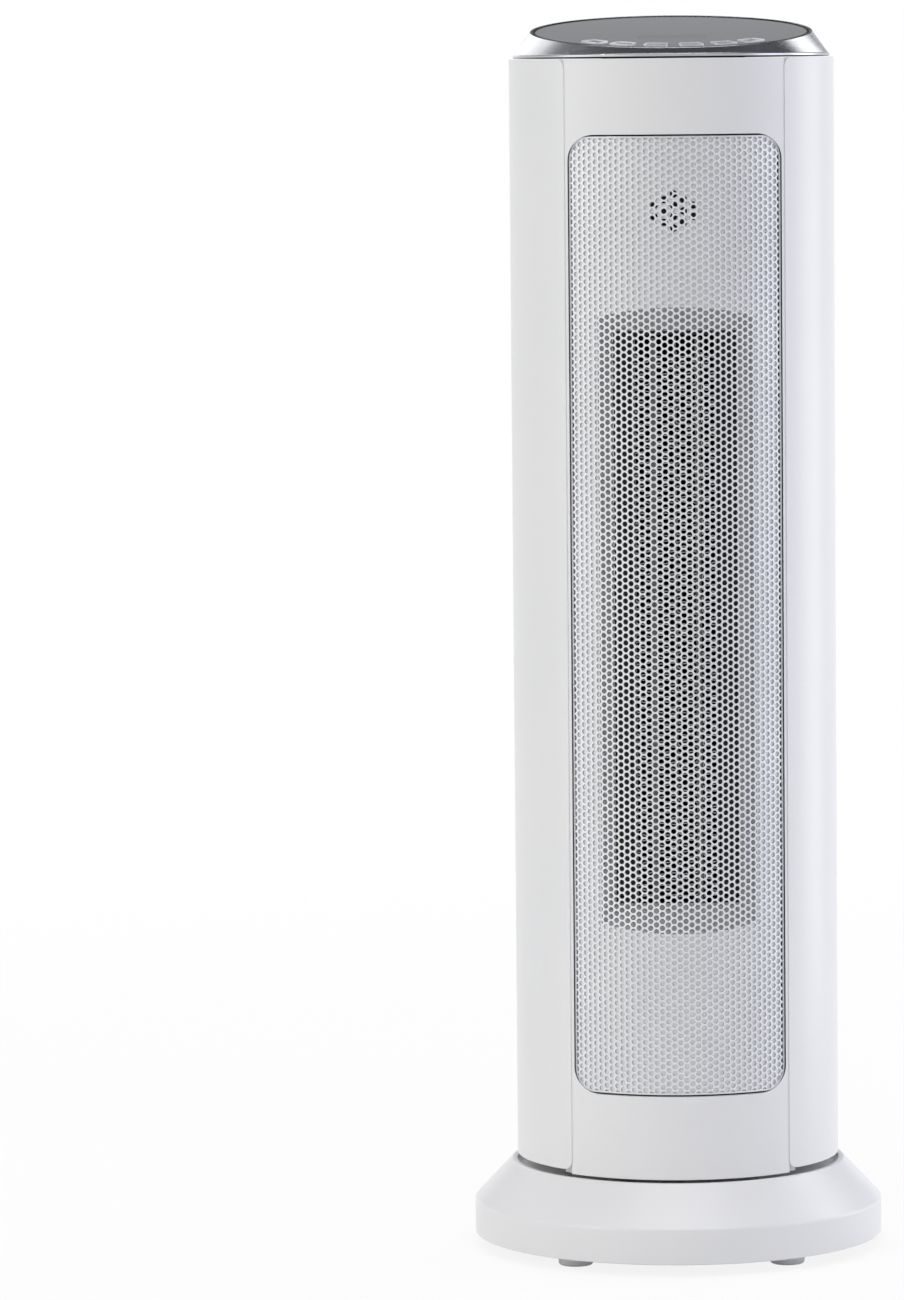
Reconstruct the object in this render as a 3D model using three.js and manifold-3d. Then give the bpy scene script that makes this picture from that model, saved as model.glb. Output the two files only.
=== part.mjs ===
// Tower heater: a ceramic fan heater that swings on a round base.
// Millimetres, +Z up, the front faces -Y, the origin is on the floor at the centre of the base.
// Angles called turn are counted from the front, towards +X.
import * as THREE from "three";
import { mergeVertices } from "three/addons/utils/BufferGeometryUtils.js";
import Module from "manifold-3d";

const wasm = await Module();
wasm.setup();

const degree = Math.PI / 180;
const quarterTurn = 90 * degree;
const fullTurn = 360 * degree;
const half = 1 / 2;

// Fits and facets
const seatGap = 0.3;
const overrun = 6;
const wideFacets = 40;
const midFacets = 18;
const smallFacets = 10;
const screwFacets = 8;
const boreFacets = 6;
const facetTurn = 9 * degree;
const trimTurn = 2 * degree;
const cornerSteps = 3;
const softSteps = 2;
const nearlyShare = 0.99;

// Base shell
const baseRadius = 95;
const baseRimRadius = 77.5;
const baseWall = 2.5;
const rimBottom = 6.5;
const baseWallTop = 21.5;
const baseTop = 40;
const baseShoulder = 6;
const baseRimRound = 1.2;
const deckDrop = 2.5;
const deckTop = baseTop - deckDrop;
const deckBottom = deckTop - baseWall;
const deckHoleRadius = 26;
const baseSlope = (baseRadius - baseRimRadius) / (baseTop - baseWallTop);
const baseWallAcross = baseWall * Math.hypot(baseSlope, 1);
const deckEdge = baseRadius - baseWallAcross - baseSlope * (deckBottom - baseWallTop);
const baseBossRadius = 4;
const baseBossX = 66;
const baseBossY = 30;
const notchWidth = 11;
const notchCentre = 12.5;

// Base plate and feet
const plateLift = 0.5;
const plateThickness = 2;
const plateTop = rimBottom + plateLift + plateThickness;
const footRadius = 8;
const footRound = 1;
const footInset = 17.85;
const footTurn = 39 * degree;
const footX = (baseRadius - footInset) * Math.sin(footTurn);
const footY = (baseRadius - footInset) * Math.cos(footTurn);
const footPegRadius = 3;
const footPegRise = 1.5;

// Tip-over switch
const plungerY = 50;
const plungerButtonRadius = 6.5;
const plungerButtonHeight = 2.8;
const plungerStemRadius = 2.5;
const plungerTravel = 4;
const plungerCollarRadius = 4.5;
const plungerCollarHeight = 1.6;
const tipSwitchWidth = 22;
const tipSwitchDepth = 18;
const tipSwitchHeight = 12.5;
const tipSwitchLeg = 5;

// Oscillation drive, hung from the deck down
const armDrop = 0.5;
const armThickness = 4;
const armTop = deckBottom - armDrop;
const armHubWall = 7;
const armWidth = 20;
const armEndWall = 3.7;
const armOverDisc = 2;
const slotClearance = 1.8;
const slotEndSpare = 1.5;
const armClearance = 5.8;
const armReach = deckEdge - armClearance;
const crankPinRadius = 3;
const armSlotHalf = crankPinRadius + slotClearance;
const swingTurn = 30 * degree;
const crankOffset = (armReach - armEndWall - slotEndSpare - armSlotHalf) / (1 + Math.sin(swingTurn));
const crankThrow = crankOffset * Math.sin(swingTurn);
const crankDiscEdge = 3.5;
const crankDiscRadius = crankThrow + crankDiscEdge;
const crankDiscHeight = 3;
const crankDiscBottom = armTop - armThickness - armOverDisc - crankDiscHeight;
const crankHubRadius = 6;
const driveMotorRadius = 25;
const driveMotorHeight = 12.5;
const driveBossRadius = 8;
const driveLugSpan = 64;
const driveLugWidth = 10;
const driveLugHeight = 3;

// Swivel neck and bearing
const neckRadius = 24;
const neckBore = 19;
const neckFlangeRadius = 58;
const neckFlangeHeight = 2.5;
const bearingInner = 40;
const bearingOuter = 56;
const bearingHeight = 2.1;

// Tower outline, from the top of the swivel neck
const bodyRadius = 75;
const bodyBottom = deckTop + bearingHeight + neckFlangeHeight + 3 * seatGap;
const bodyTop = 552;

// Cord outlet
const cordRadius = 3.1;
const reliefNoseRadius = 3.2;
const reliefNoseLength = 3;
const reliefWidth = 15;
const reliefHeight = 11;
const reliefLength = 13;

// Rear ledges that the cover's screws sit on
const coverWall = 2.2;
const ledgeY = 17;
const ledgeWidth = 12.2;

// Casing: two side shells joined by a band above and below the rear cover
const casingWall = 2.2;
const casingInner = bodyRadius - casingWall;
const casingFrontHalf = 50;
const frontTurn = Math.asin(casingFrontHalf / bodyRadius);
const casingEdgeRound = 4;
const casingRearEdgeY = ledgeY + 2 * seatGap;
const casingRearHalf = Math.sqrt(bodyRadius ** 2 - casingRearEdgeY ** 2);
const rearWindowRise = 22.4;
const rearWindowDrop = 23.7;
const rearWindowBottom = bodyBottom + rearWindowRise;
const rearWindowTop = bodyTop - rearWindowDrop;
const rearWindowRound = 14;
const coverHalf = casingRearHalf - ledgeWidth;
const bossWidth = 9;
const bossInset = 0.5;
const bossDepth = 12;

// Tower floor
const floorThickness = 3;

// Front panel and grille
const panelRecess = 1.5;
const panelWall = 2.2;
const panelOverhang = 1.8;
const panelBottom = bodyBottom - panelOverhang;
const panelLap = 5 * degree;
const panelSideGap = 0.5;
const panelLapOuter = casingInner - seatGap;
const grilleSideWidth = 2;
const grilleHalf = casingFrontHalf - grilleSideWidth;
const grilleRise = 37;
const grilleDrop = 35;
const grilleBottom = bodyBottom + grilleRise;
const grilleTop = bodyTop - grilleDrop;
const grilleRound = 11;
const grilleEdgeGap = 0.5;
const grilleProud = 0.7;
const grilleSheet = 1.2;
const grillePitch = 21.7;
const grilleHole = 15.8;
const grilleBorder = 3.5;

// Frame behind the grille, with the funnel that narrows to the element
const frameWall = 1.6;
const frameOuter = panelLapOuter - panelWall - seatGap;
const frameOverlap = 18;
const frameBottom = grilleBottom - frameOverlap;
const frameTop = grilleTop + frameOverlap;
const frameSpareTurn = 0.2 * degree;
const funnelSideWidth = 11;
const funnelMouthHalf = grilleHalf - funnelSideWidth;
const funnelMouthRise = 72;
const funnelMouthDrop = 77;
const funnelMouthBottom = grilleBottom + funnelMouthRise;
const funnelMouthTop = grilleTop - funnelMouthDrop;
const funnelMouthDepth = 13;
const funnelMouthY = frameOuter - funnelMouthDepth;
const funnelLength = 9;
const funnelSlope = 8.5;
const funnelLowSlope = 10;
const funnelHighSlope = 13;
const funnelEndHalf = funnelMouthHalf - funnelSlope;
const funnelEndBottom = funnelMouthBottom + funnelLowSlope;
const funnelEndTop = funnelMouthTop - funnelHighSlope;
const funnelEndY = funnelMouthY - funnelLength;
const sensorDrop = 34;
const sensorHeight = grilleTop - sensorDrop;
const sensorHoles = 7;
const sensorHoleRadius = 2.3;
const sensorPitch = 7.2;
const receiverWidth = 18;
const receiverHeight = 22;
const receiverDepth = 7;

// Ceramic heating element
const elementEdge = 9.5;
const elementHalf = funnelEndHalf - elementEdge;
const elementDepth = 13;
const elementEnd = 12;
const elementFinPitch = 19;
const elementFin = 1.6;
const elementBar = 3;
const elementBarOffset = 10.1;
const elementLowSpare = 5.7;
const elementHighSpare = 7;
const elementBottom = funnelEndBottom - elementLowSpare;
const elementTop = funnelEndTop + elementHighSpare;
const cutoutRadius = 6;
const cutoutHeight = 6.5;

// Blower: the duct stands round the element's back, the impeller clears its straps
const ductWall = 1.6;
const ductLowSpare = 8;
const ductHighSpare = 29;
const ductBottom = funnelEndBottom - ductLowSpare;
const ductTop = funnelEndTop + ductHighSpare;
const ductShaftHole = 6;
const ductThroatY = 20;
const ductSpareAtRear = 3.47;
const ductLip = 1.6;
const impellerRadius = 28;
const impellerEndGap = 5;
const impellerBottom = ductBottom + impellerEndGap;
const impellerTop = ductTop - impellerEndGap;
const impellerDisc = 2;
const bladeCount = 16;
const bladeThickness = 1.4;
const bladeDepth = 9;
const bladeSweep = 16 * degree;
const shaftRadius = 3;
const shaftInMotor = 14;
const shaftAboveDuct = 5;
const hubRadius = 9;
const hubHeight = 8;
const ductTongueGap = 5;
const ductBellyGap = 13;
const ductRearGap = 17;
const ductWaist = impellerRadius + ductTongueGap;
const ductBelly = impellerRadius + ductBellyGap;
const ductRearHalf = impellerRadius + ductRearGap;
const ductRearY = Math.sqrt((bodyRadius - ductSpareAtRear) ** 2 - ductRearHalf ** 2);
const strapY = ductRearY - ductLip;
const strapThickness = 2;
const strapHeight = 10;
const strapBossRadius = 4.5;
const impellerStrapGap = 2;
const impellerY = strapY - impellerStrapGap - impellerRadius;
const fanMotorRadius = 27;
const fanMotorHeight = 34;
const fanMotorFlange = 2.5;
const fanMotorFlangeRadius = 31;
const bearingCapRadius = 9;
const bearingCapHeight = 7;

// Mains switch
const switchHeight = 83;
const recessWidth = 33;
const recessHeight = 15;
const bezelWidth = 31.6;
const bezelHeight = 13.6;
const bezelSink = 2.6;
const bezelFaceY = bodyRadius - bezelSink;
const bezelDepth = 24;
const bezelMouthHalf = 12.4;
const rockerHalf = 11;
const rockerHeight = 7.4;
const rockerSink = 6.4;
const rockerPivotY = bezelFaceY - rockerSink;
const rockerFace = 6.2;
const rockerDish = 1.8;
const rockerHeel = 3;
const rockerTilt = 8 * degree;
const rockerPinRadius = 1;
const rockerPinReach = 1;

// Rear cover: hand grip, then the inlet slots down to some way above the switch
const coverCorner = 3.5;
const gripHalf = 43;
const gripHeight = 30;
const gripDrop = 22.8;
const gripTop = rearWindowTop - gripDrop;
const gripBottom = gripTop - gripHeight;
const gripDepth = 20;
const gripFloorY = bodyRadius - gripDepth;
const gripTaper = 6;
const gripSlope = 3;
const gripRound = 5;
const slotColumnPitch = 22;
const slotRib = 3.5;
const slotPitch = 6.93;
const slotHeight = 4.3;
const slotDrop = 31.9;
const slotTop = gripBottom - slotDrop;
const slotAboveSwitch = 78.4;
const slotFloor = switchHeight + recessHeight * half + slotAboveSwitch;
const slotRows = 1 + Math.floor((slotTop - slotHeight - slotFloor) / slotPitch);
const slotLowest = slotTop - (slotRows - 1) * slotPitch - slotHeight;
const blindDepth = 1.2;
const halfOpenRows = 3;
const halfOpenAtShare = 0.35;
const blindFromShare = 0.54;

// Screws
const screwHeadRadius = 4.2;
const screwHead = 2;
const screwShankRadius = 1.6;
const screwLength = 11;
const rearScrewInset = 4.9;
const rearScrewX = coverHalf + rearScrewInset;
const rearScrewDrop = 26.3;
const rearScrewRise = 29.2;
const rearScrewShares = [1, 0.683, 0.318, 0];
const rearScrewLow = rearWindowBottom + rearScrewRise;
const rearScrewHigh = rearWindowTop - rearScrewDrop;
const rearScrewHeights = rearScrewShares.map((share) => (
  rearScrewLow + share * (rearScrewHigh - rearScrewLow)));
const plateScrewX = 11.4;
const plateScrewDrop = 49.8;
const plateScrewRise = 19.1;
const plateScrewHeights = [slotTop - plateScrewDrop, slotLowest + plateScrewRise];

// Power board
const boardThickness = 1.6;
const powerBoardWidth = 68;
const powerBoardHeight = 60;
const powerBoardY = -6;
const relaySize = 16;
const capacitorRadius = 6;
const capacitorLength = 12;

// Lid
const lidGap = 0.5;
const lidSetback = 2;
const lidRadius = bodyRadius - lidSetback;
const lidLip = 1.2;
const lidShoulder = 8;
const lidTopRadius = lidRadius - lidShoulder;
const lidFrontRise = 4.5;
const lidRearRise = 20.5;
const lidFrontTop = bodyTop + lidFrontRise;
const lidRearTop = bodyTop + lidRearRise;
const lidSlope = (lidRearTop - lidFrontTop) / (2 * lidTopRadius);
const lidTilt = Math.atan(lidSlope);
const lidMiddle = (lidRearTop + lidFrontTop) * half;
const lidRim = 1.2;
const lidLedge = 3.3;
const lidLedgeDrop = 2.6;
const lidLedgeThickness = 1.2;
const lidFoot = 2.2;
const controlInset = 0.9;
const controlDrop = 0.3;
const controlThickness = 2;
const keyCount = 6;
const keyInset = 13;
const keyRadius = lidTopRadius - keyInset;
const keyPitchTurn = 17.3 * degree;
const keyWidth = 11;
const keyLength = 9;
const keyRound = 2;
const keyProud = 0.3;
const keyTravel = 0.8;
const keyFlange = 0.8;
const windowWidth = 30;
const windowLength = 14;
const windowY = -22;
const windowThickness = 1;
const windowLip = 2;
const windowRound = 2;
const controlBoardInset = 4;
const controlBoardRadius = lidTopRadius - controlBoardInset;
const controlBoardY = -9;
const controlBoardGap = 0.3;

// Plug
const plugWidth = 35;
const plugHeight = 19.4;
const plugLength = 44;
const plugTailWidth = 11;
const plugPinRadius = 2.4;
const plugPinLength = 19;
const plugPinSpacing = 19;
const plugShoulderShare = 0.45;

// Cord route: points on the centre line, by hand, and the coil behind the tower
const cordRoute = [
  [0, 95.3, 12.5], [0, 104, 12.2], [1.5, 113, 10.8], [6.5, 123, 8.4], [15, 131.5, 5.9], [26, 138, 4.1],
  [38, 143.5, 3.3], [50, 149.5, 3.2], [61, 157.5, 3.2], [68.5, 168, 3.2], [71.8, 180, 3.2],
  [72.9, 194, 3.2], [73.2, 208.4, 3.2],
];
const leadRoute = [
  [-11.4, 243.2, 9.9], [-16, 238.6, 9.7], [-25.5, 229, 7.1], [-34, 219.7, 4.5], [-41, 210, 3.9],
  [-46.3, 199.5, 5.7], [-49, 190, 8.3], [-49.9, 183, 9.6], [-50, 177, 9.9],
];
const coilCentre = [26, 215];
const coilRadius = 47.2;
const coilPitch = 6.75;
const coilLow = 3.2;
const coilLayer = 6.7;
const coilTurnsIn = 3;
const coilTurnsClimb = 0.5;
const coilTurnsOut = 2.875;
const cordSides = 8;
const cordSteps = 14;
const coilSides = 6;
const coilSteps = 24;

// Finishes
const white = new THREE.MeshStandardMaterial({ color: 0xf1f1f3, roughness: 0.35, metalness: 0 });
const satin = new THREE.MeshStandardMaterial({ color: 0xb4b5b9, roughness: 0.3, metalness: 0.9 });
const perforated = new THREE.MeshStandardMaterial({ color: 0xdcdcdf, roughness: 0.4, metalness: 0.3 });
const darkGloss = new THREE.MeshStandardMaterial({ color: 0x6c6e73, roughness: 0.15, metalness: 0 });
const glassDark = new THREE.MeshStandardMaterial({ color: 0x2a2b2f, roughness: 0.08, metalness: 0 });
const black = new THREE.MeshStandardMaterial({ color: 0x1b1c1e, roughness: 0.5, metalness: 0 });
const red = new THREE.MeshStandardMaterial({ color: 0xc01512, roughness: 0.2, metalness: 0 });
const screwSteel = new THREE.MeshStandardMaterial({ color: 0x50545a, roughness: 0.4, metalness: 0.9 });
const steel = new THREE.MeshStandardMaterial({ color: 0xa9acb0, roughness: 0.35, metalness: 1 });
const aluminium = new THREE.MeshStandardMaterial({ color: 0xc3c4c6, roughness: 0.45, metalness: 0.9 });
const rubber = new THREE.MeshStandardMaterial({ color: 0xdedee0, roughness: 0.8, metalness: 0 });
const acetal = new THREE.MeshStandardMaterial({ color: 0xe6e2d6, roughness: 0.5, metalness: 0 });
const board = new THREE.MeshStandardMaterial({ color: 0x2c5a3a, roughness: 0.6, metalness: 0 });

// A closed manifold solid from any closed geometry, turned the right way out
function solid(geometry) {
  geometry.deleteAttribute("normal");
  geometry.deleteAttribute("uv");
  const merged = mergeVertices(geometry);
  const places = merged.attributes.position;
  const index = merged.index.array;
  const kept = [];
  let volume = 0;
  const [a, b, c] = [new THREE.Vector3(), new THREE.Vector3(), new THREE.Vector3()];
  for (let i = 0; i < index.length; i += 3) {
    const [p, q, r] = [index[i], index[i + 1], index[i + 2]];
    if (p === q || q === r || r === p) continue;
    kept.push(p, q, r);
    volume += a.fromBufferAttribute(places, p)
      .dot(b.fromBufferAttribute(places, q).cross(c.fromBufferAttribute(places, r)));
  }
  if (volume < 0) kept.reverse();
  const mesh = { numProp: 3, vertProperties: places.array, triVerts: Uint32Array.from(kept) };
  return new wasm.Manifold(new wasm.Mesh(mesh));
}

// A named mesh in its own finish
function piece(name, body, material) {
  const { vertProperties, triVerts } = body.getMesh();
  const geometry = new THREE.BufferGeometry();
  geometry.setAttribute("position", new THREE.BufferAttribute(vertProperties, 3));
  geometry.setIndex(new THREE.BufferAttribute(triVerts, 1));
  geometry.computeVertexNormals();
  const mesh = new THREE.Mesh(geometry, material);
  mesh.name = name;
  return mesh;
}

// A point on a circle round the tower's axis
function onCircle(radius, turn) {
  return new THREE.Vector2(radius * Math.sin(turn), -radius * Math.cos(turn));
}

// Points along such a circle, from one turn to another
function arc(radius, from, to, step = facetTurn) {
  const count = Math.max(1, Math.ceil(Math.abs(to - from) / step));
  const share = (to - from) / count;
  return Array.from({ length: count + 1 }, (_, i) => onCircle(radius, from + share * i));
}

// A closed outline whose corners, given as [x, y, radius], are rounded
function rounded(corners, steps = cornerSteps) {
  return corners.flatMap(([x, y, radius = 0], i) => {
    const corner = new THREE.Vector2(x, y);
    if (radius === 0) return [corner];
    const [lastX, lastY] = corners.at(i - 1);
    const [nextX, nextY] = corners[(i + 1) % corners.length];
    const back = new THREE.Vector2(lastX - x, lastY - y).normalize();
    const ahead = new THREE.Vector2(nextX - x, nextY - y).normalize();
    const halfAngle = Math.acos(back.dot(ahead)) * half;
    const centre = back.clone().add(ahead).normalize()
      .multiplyScalar(radius / Math.sin(halfAngle)).add(corner);
    const reach = radius / Math.tan(halfAngle);
    const start = back.multiplyScalar(reach).add(corner).sub(centre).angle();
    let sweep = ahead.multiplyScalar(reach).add(corner).sub(centre).angle() - start;
    if (sweep > Math.PI) sweep -= fullTurn;
    if (sweep < -Math.PI) sweep += fullTurn;
    return Array.from({ length: steps + 1 }, (_, k) => {
      const angle = start + (sweep * k) / steps;
      return new THREE.Vector2(centre.x + radius * Math.cos(angle), centre.y + radius * Math.sin(angle));
    });
  });
}

// Corners of a rectangle, all rounded alike
function box2(left, right, low, high, radius = 0) {
  return rounded([[left, low, radius], [right, low, radius], [right, high, radius], [left, high, radius]]);
}

// An outline given some depth, then set in place
function extruded(outline, depth, place) {
  const shape = new THREE.Shape(outline);
  return solid(place(new THREE.ExtrudeGeometry(shape, { depth, bevelEnabled: false })));
}

// A plan outline raised from one height to another
function prism(outline, low, high) {
  return extruded(outline, high - low, (body) => body.translate(0, 0, low));
}

// An outline in the XZ plane, driven along Y from near to far
function driven(outline, near, far) {
  return extruded(outline, far - near, (body) => body.rotateX(quarterTurn).translate(0, far, 0));
}

// A closed profile of [radius, height] points turned about the Z axis
function turned(profile, facets = wideFacets) {
  const points = profile.map(([radius, height]) => new THREE.Vector2(radius, height));
  const onAxis = points[0].x === 0 && points.at(-1).x === 0;
  if (!onAxis) points.push(points[0].clone());
  return solid(new THREE.LatheGeometry(points, facets).rotateX(quarterTurn));
}

// A round bar along Z, with the facets of its size
function rod(radius, low, high, facets = smallFacets) {
  return turned([[0, low], [radius, low], [radius, high], [0, high]], facets);
}

// A block between two corners
function block(x0, x1, y0, y1, z0, z1) {
  const body = new THREE.BoxGeometry(x1 - x0, y1 - y0, z1 - z0);
  return solid(body.translate((x0 + x1) * half, (y0 + y1) * half, (z0 + z1) * half));
}

// A solid moved to a place and, where asked, turned
function placed(body, x, y, z, turnX = 0, turnZ = 0) {
  const { vertProperties, triVerts } = body.getMesh();
  const geometry = new THREE.BufferGeometry();
  geometry.setAttribute("position", new THREE.BufferAttribute(vertProperties, 3));
  geometry.setIndex(new THREE.BufferAttribute(triVerts, 1));
  return solid(geometry.rotateX(turnX).rotateZ(turnZ).translate(x, y, z));
}

// A skin through rings of points, with its two ends closed, or its last ring joined to its first
function loft(rings, closed = false) {
  const sides = rings[0].length;
  const positions = rings.flat().flatMap((p) => [p.x, p.y, p.z]);
  const index = [];
  const spans = closed ? rings.length : rings.length - 1;
  for (let r = 0; r < spans; r++) {
    for (let s = 0; s < sides; s++) {
      const here = r * sides + s;
      const beside = r * sides + ((s + 1) % sides);
      const above = ((r + 1) % rings.length) * sides;
      index.push(here, beside, above + ((s + 1) % sides), here, above + ((s + 1) % sides), above + s);
    }
  }
  for (let s = 1; !closed && s < sides - 1; s++) {
    const last = (rings.length - 1) * sides;
    index.push(0, s + 1, s, last, last + s, last + s + 1);
  }
  const geometry = new THREE.BufferGeometry();
  geometry.setAttribute("position", new THREE.Float32BufferAttribute(positions, 3));
  geometry.setIndex(index);
  return solid(geometry);
}

// A ring of points in the XZ plane at one depth
const ringAtDepth = (outline, y) => outline.map((p) => new THREE.Vector3(p.x, y, p.y));

// A closed sheet round the tower's axis between two radii and two turns
function curvedSheet(inner, outer, from, to, low, high, step = facetTurn) {
  return prism([...arc(outer, from, to, step), ...arc(inner, to, from, step)], low, high);
}

// Round base shell with its deck, screw bosses and the notch for the cord
function baseShell() {
  const innerWall = baseRadius - baseWall;
  const profile = rounded([
    [innerWall, rimBottom], [baseRadius, rimBottom], [baseRadius, baseWallTop, baseShoulder],
    [baseRimRadius, baseTop, baseRimRound], [baseRimRadius - baseWall, baseTop],
    [baseRimRadius - baseWall, deckTop], [deckHoleRadius, deckTop], [deckHoleRadius, deckBottom],
    [deckEdge, deckBottom], [innerWall, baseWallTop - baseWall],
  ], softSteps).map((p) => [p.x, p.y]);
  let shell = turned(profile);
  for (const x of [-baseBossX, baseBossX]) {
    for (const y of [-baseBossY, baseBossY]) {
      const boss = rod(baseBossRadius, plateTop + seatGap, deckTop - baseWall * half, screwFacets);
      shell = shell.add(placed(boss, x, y, 0));
    }
  }
  const notch = rounded([
    [-notchWidth * half, -overrun], [notchWidth * half, -overrun],
    [notchWidth * half, notchCentre + notchWidth * half, notchWidth * half * nearlyShare],
    [-notchWidth * half, notchCentre + notchWidth * half, notchWidth * half * nearlyShare],
  ]);
  return shell.subtract(driven(notch, innerWall - overrun, baseRadius + overrun));
}

// Flat cover under the base, with holes for the foot pegs and the tip-over plunger
function basePlate() {
  const low = rimBottom + plateLift;
  let plate = rod(baseRadius - baseWall - seatGap, low, low + plateThickness, wideFacets);
  for (const x of [-footX, footX]) {
    for (const y of [-footY, footY]) {
      plate = plate.subtract(placed(rod(footPegRadius + seatGap, low - overrun, low + overrun), x, y, 0));
    }
  }
  const stemHole = rod(plungerStemRadius + seatGap, low - overrun, low + overrun);
  return plate.subtract(placed(stemHole, 0, plungerY, 0));
}

// Soft foot with a peg that snaps through the base plate
function foot() {
  const top = rimBottom + plateLift - seatGap;
  return turned([
    [0, 0], [footRadius - footRound, 0], [footRadius, footRound], [footRadius, top],
    [footPegRadius, top], [footPegRadius, top + plateThickness + footPegRise],
    [0, top + plateThickness + footPegRise],
  ], smallFacets);
}

// Plunger that drops when the heater is lifted or falls over
function tipPlunger() {
  const collar = plateTop + seatGap + plungerTravel;
  return turned([
    [0, 0], [plungerButtonRadius, 0], [plungerButtonRadius, plungerButtonHeight],
    [plungerStemRadius, plungerButtonHeight], [plungerStemRadius, collar], [plungerCollarRadius, collar],
    [plungerCollarRadius, collar + plungerCollarHeight], [0, collar + plungerCollarHeight],
  ], smallFacets);
}

// Microswitch housing that straddles the plunger
function tipSwitch() {
  const underside = plateTop + plungerTravel + plungerCollarHeight + 2 * seatGap;
  const side = tipSwitchWidth * half;
  const outline = [
    [-side, plateTop + seatGap], [tipSwitchLeg - side, plateTop + seatGap],
    [tipSwitchLeg - side, underside], [side - tipSwitchLeg, underside],
    [side - tipSwitchLeg, plateTop + seatGap], [side, plateTop + seatGap],
    [side, underside + tipSwitchHeight], [-side, underside + tipSwitchHeight],
  ];
  return driven(rounded(outline), plungerY - tipSwitchDepth * half, plungerY + tipSwitchDepth * half);
}

// Slow motor that turns the crank, with two fixing lugs
function driveMotor() {
  const low = plateTop + seatGap;
  const top = crankDiscBottom - 2 * seatGap;
  const lug = box2(-driveLugSpan * half, driveLugSpan * half, -driveLugWidth * half, driveLugWidth * half);
  return rod(driveMotorRadius, low, low + driveMotorHeight, midFacets)
    .add(rod(driveBossRadius, low, top, smallFacets))
    .add(prism(lug, low, low + driveLugHeight));
}

// Crank disc with its pin, drawn about its own axis
function crank() {
  const discTop = crankDiscBottom + crankDiscHeight;
  return rod(crankDiscRadius, crankDiscBottom, discTop, midFacets)
    .add(rod(crankHubRadius, crankDiscBottom - seatGap, discTop))
    .add(placed(rod(crankPinRadius, crankDiscBottom, armTop), 0, -crankThrow, 0));
}

// Slotted arm on the neck that the crank pin pushes from side to side
function crankArm() {
  const low = armTop - armThickness;
  const pinNear = Math.sqrt(crankOffset ** 2 - crankThrow ** 2) + crankPinRadius;
  const pinFar = crankOffset + crankThrow;
  const hub = rod(neckRadius + seatGap + armHubWall, low, armTop, midFacets);
  const bar = prism(box2(-armWidth * half, armWidth * half, -armReach, 0), low, armTop);
  const slot = box2(-armSlotHalf, armSlotHalf, -pinFar - armSlotHalf - slotEndSpare,
    -pinNear + armSlotHalf + slotEndSpare, armSlotHalf * nearlyShare);
  return hub.add(bar)
    .subtract(prism(slot, low - overrun, armTop + overrun))
    .subtract(rod(neckRadius + seatGap, low - overrun, armTop + overrun, midFacets));
}

// Slip ring that the tower turns on
function bearingRing() {
  const low = deckTop + seatGap;
  return turned([
    [bearingInner, low], [bearingOuter, low],
    [bearingOuter, low + bearingHeight], [bearingInner, low + bearingHeight],
  ], midFacets);
}

// Hollow neck under the tower floor, which reaches down through the deck
function swivelNeck() {
  const flangeLow = deckTop + bearingHeight + 2 * seatGap;
  const top = flangeLow + neckFlangeHeight;
  return turned([
    [neckBore, armTop - armThickness], [neckRadius, armTop - armThickness], [neckRadius, flangeLow],
    [neckFlangeRadius, flangeLow], [neckFlangeRadius, top], [neckBore, top],
  ], midFacets);
}

// Clamp that grips the cord behind the notch, with a short round nose
function strainRelief() {
  const low = plateTop + seatGap;
  const face = baseRadius - baseWall - seatGap - (baseWall + seatGap) * half;
  const nose = rod(reliefNoseRadius, 0, reliefNoseLength + baseWall * half);
  return block(-reliefWidth * half, reliefWidth * half, face - reliefLength, face, low, low + reliefHeight)
    .add(placed(nose, 0, face + reliefNoseLength + baseWall * half - seatGap, notchCentre, quarterTurn));
}

// Casing: a tall sleeve open at the front, with a window at the rear and eight screw bosses
function casing() {
  const edge = frontTurn - trimTurn;
  let shell = curvedSheet(casingInner, bodyRadius, edge, fullTurn - edge, bodyBottom, bodyTop);
  for (const height of rearScrewHeights) {
    for (const side of [-1, 1]) {
      const outer = Math.sqrt(casingInner ** 2 - (casingRearEdgeY - coverWall) ** 2) + casingWall * half;
      const xs = [side * (coverHalf + bossInset), side * outer].sort((p, q) => p - q);
      const top = ledgeY - coverWall - seatGap;
      const [low, high] = [height - bossWidth * half, height + bossWidth * half];
      shell = shell.add(block(...xs, top - bossDepth, top, low, high));
    }
  }
  const flare = casingFrontHalf + casingEdgeRound + overrun;
  const front = rounded([
    [-flare, bodyBottom - overrun], [flare, bodyBottom - overrun], [flare, bodyBottom],
    [casingFrontHalf, bodyBottom, casingEdgeRound], [casingFrontHalf, bodyTop, casingEdgeRound],
    [flare, bodyTop], [flare, bodyTop + overrun], [-flare, bodyTop + overrun], [-flare, bodyTop],
    [-casingFrontHalf, bodyTop, casingEdgeRound], [-casingFrontHalf, bodyBottom, casingEdgeRound],
    [-flare, bodyBottom],
  ]);
  const rear = box2(-casingRearHalf, casingRearHalf, rearWindowBottom, rearWindowTop, rearWindowRound);
  shell = shell.subtract(driven(front, -bodyRadius - overrun, 0))
    .subtract(driven(rear, casingRearEdgeY, bodyRadius + overrun));
  for (const height of rearScrewHeights) {
    for (const side of [-1, 1]) {
      const bore = rod(screwShankRadius + seatGap, -bossDepth, overrun, boreFacets);
      shell = shell.subtract(placed(bore, side * rearScrewX, ledgeY - coverWall, height, -quarterTurn));
    }
  }
  return shell;
}

// Floor of the tower, notched at the front for the panel, with a hole for the wires
function towerFloor() {
  const edge = frontTurn + panelLap + trimTurn;
  const front = panelLapOuter - panelWall - 2 * seatGap;
  const outline = [...arc(panelLapOuter, edge, fullTurn - edge), ...arc(front, -edge, edge)];
  return prism(outline, bodyBottom, bodyBottom + floorThickness)
    .subtract(rod(neckBore, bodyBottom - overrun, bodyBottom + overrun, midFacets));
}

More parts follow.
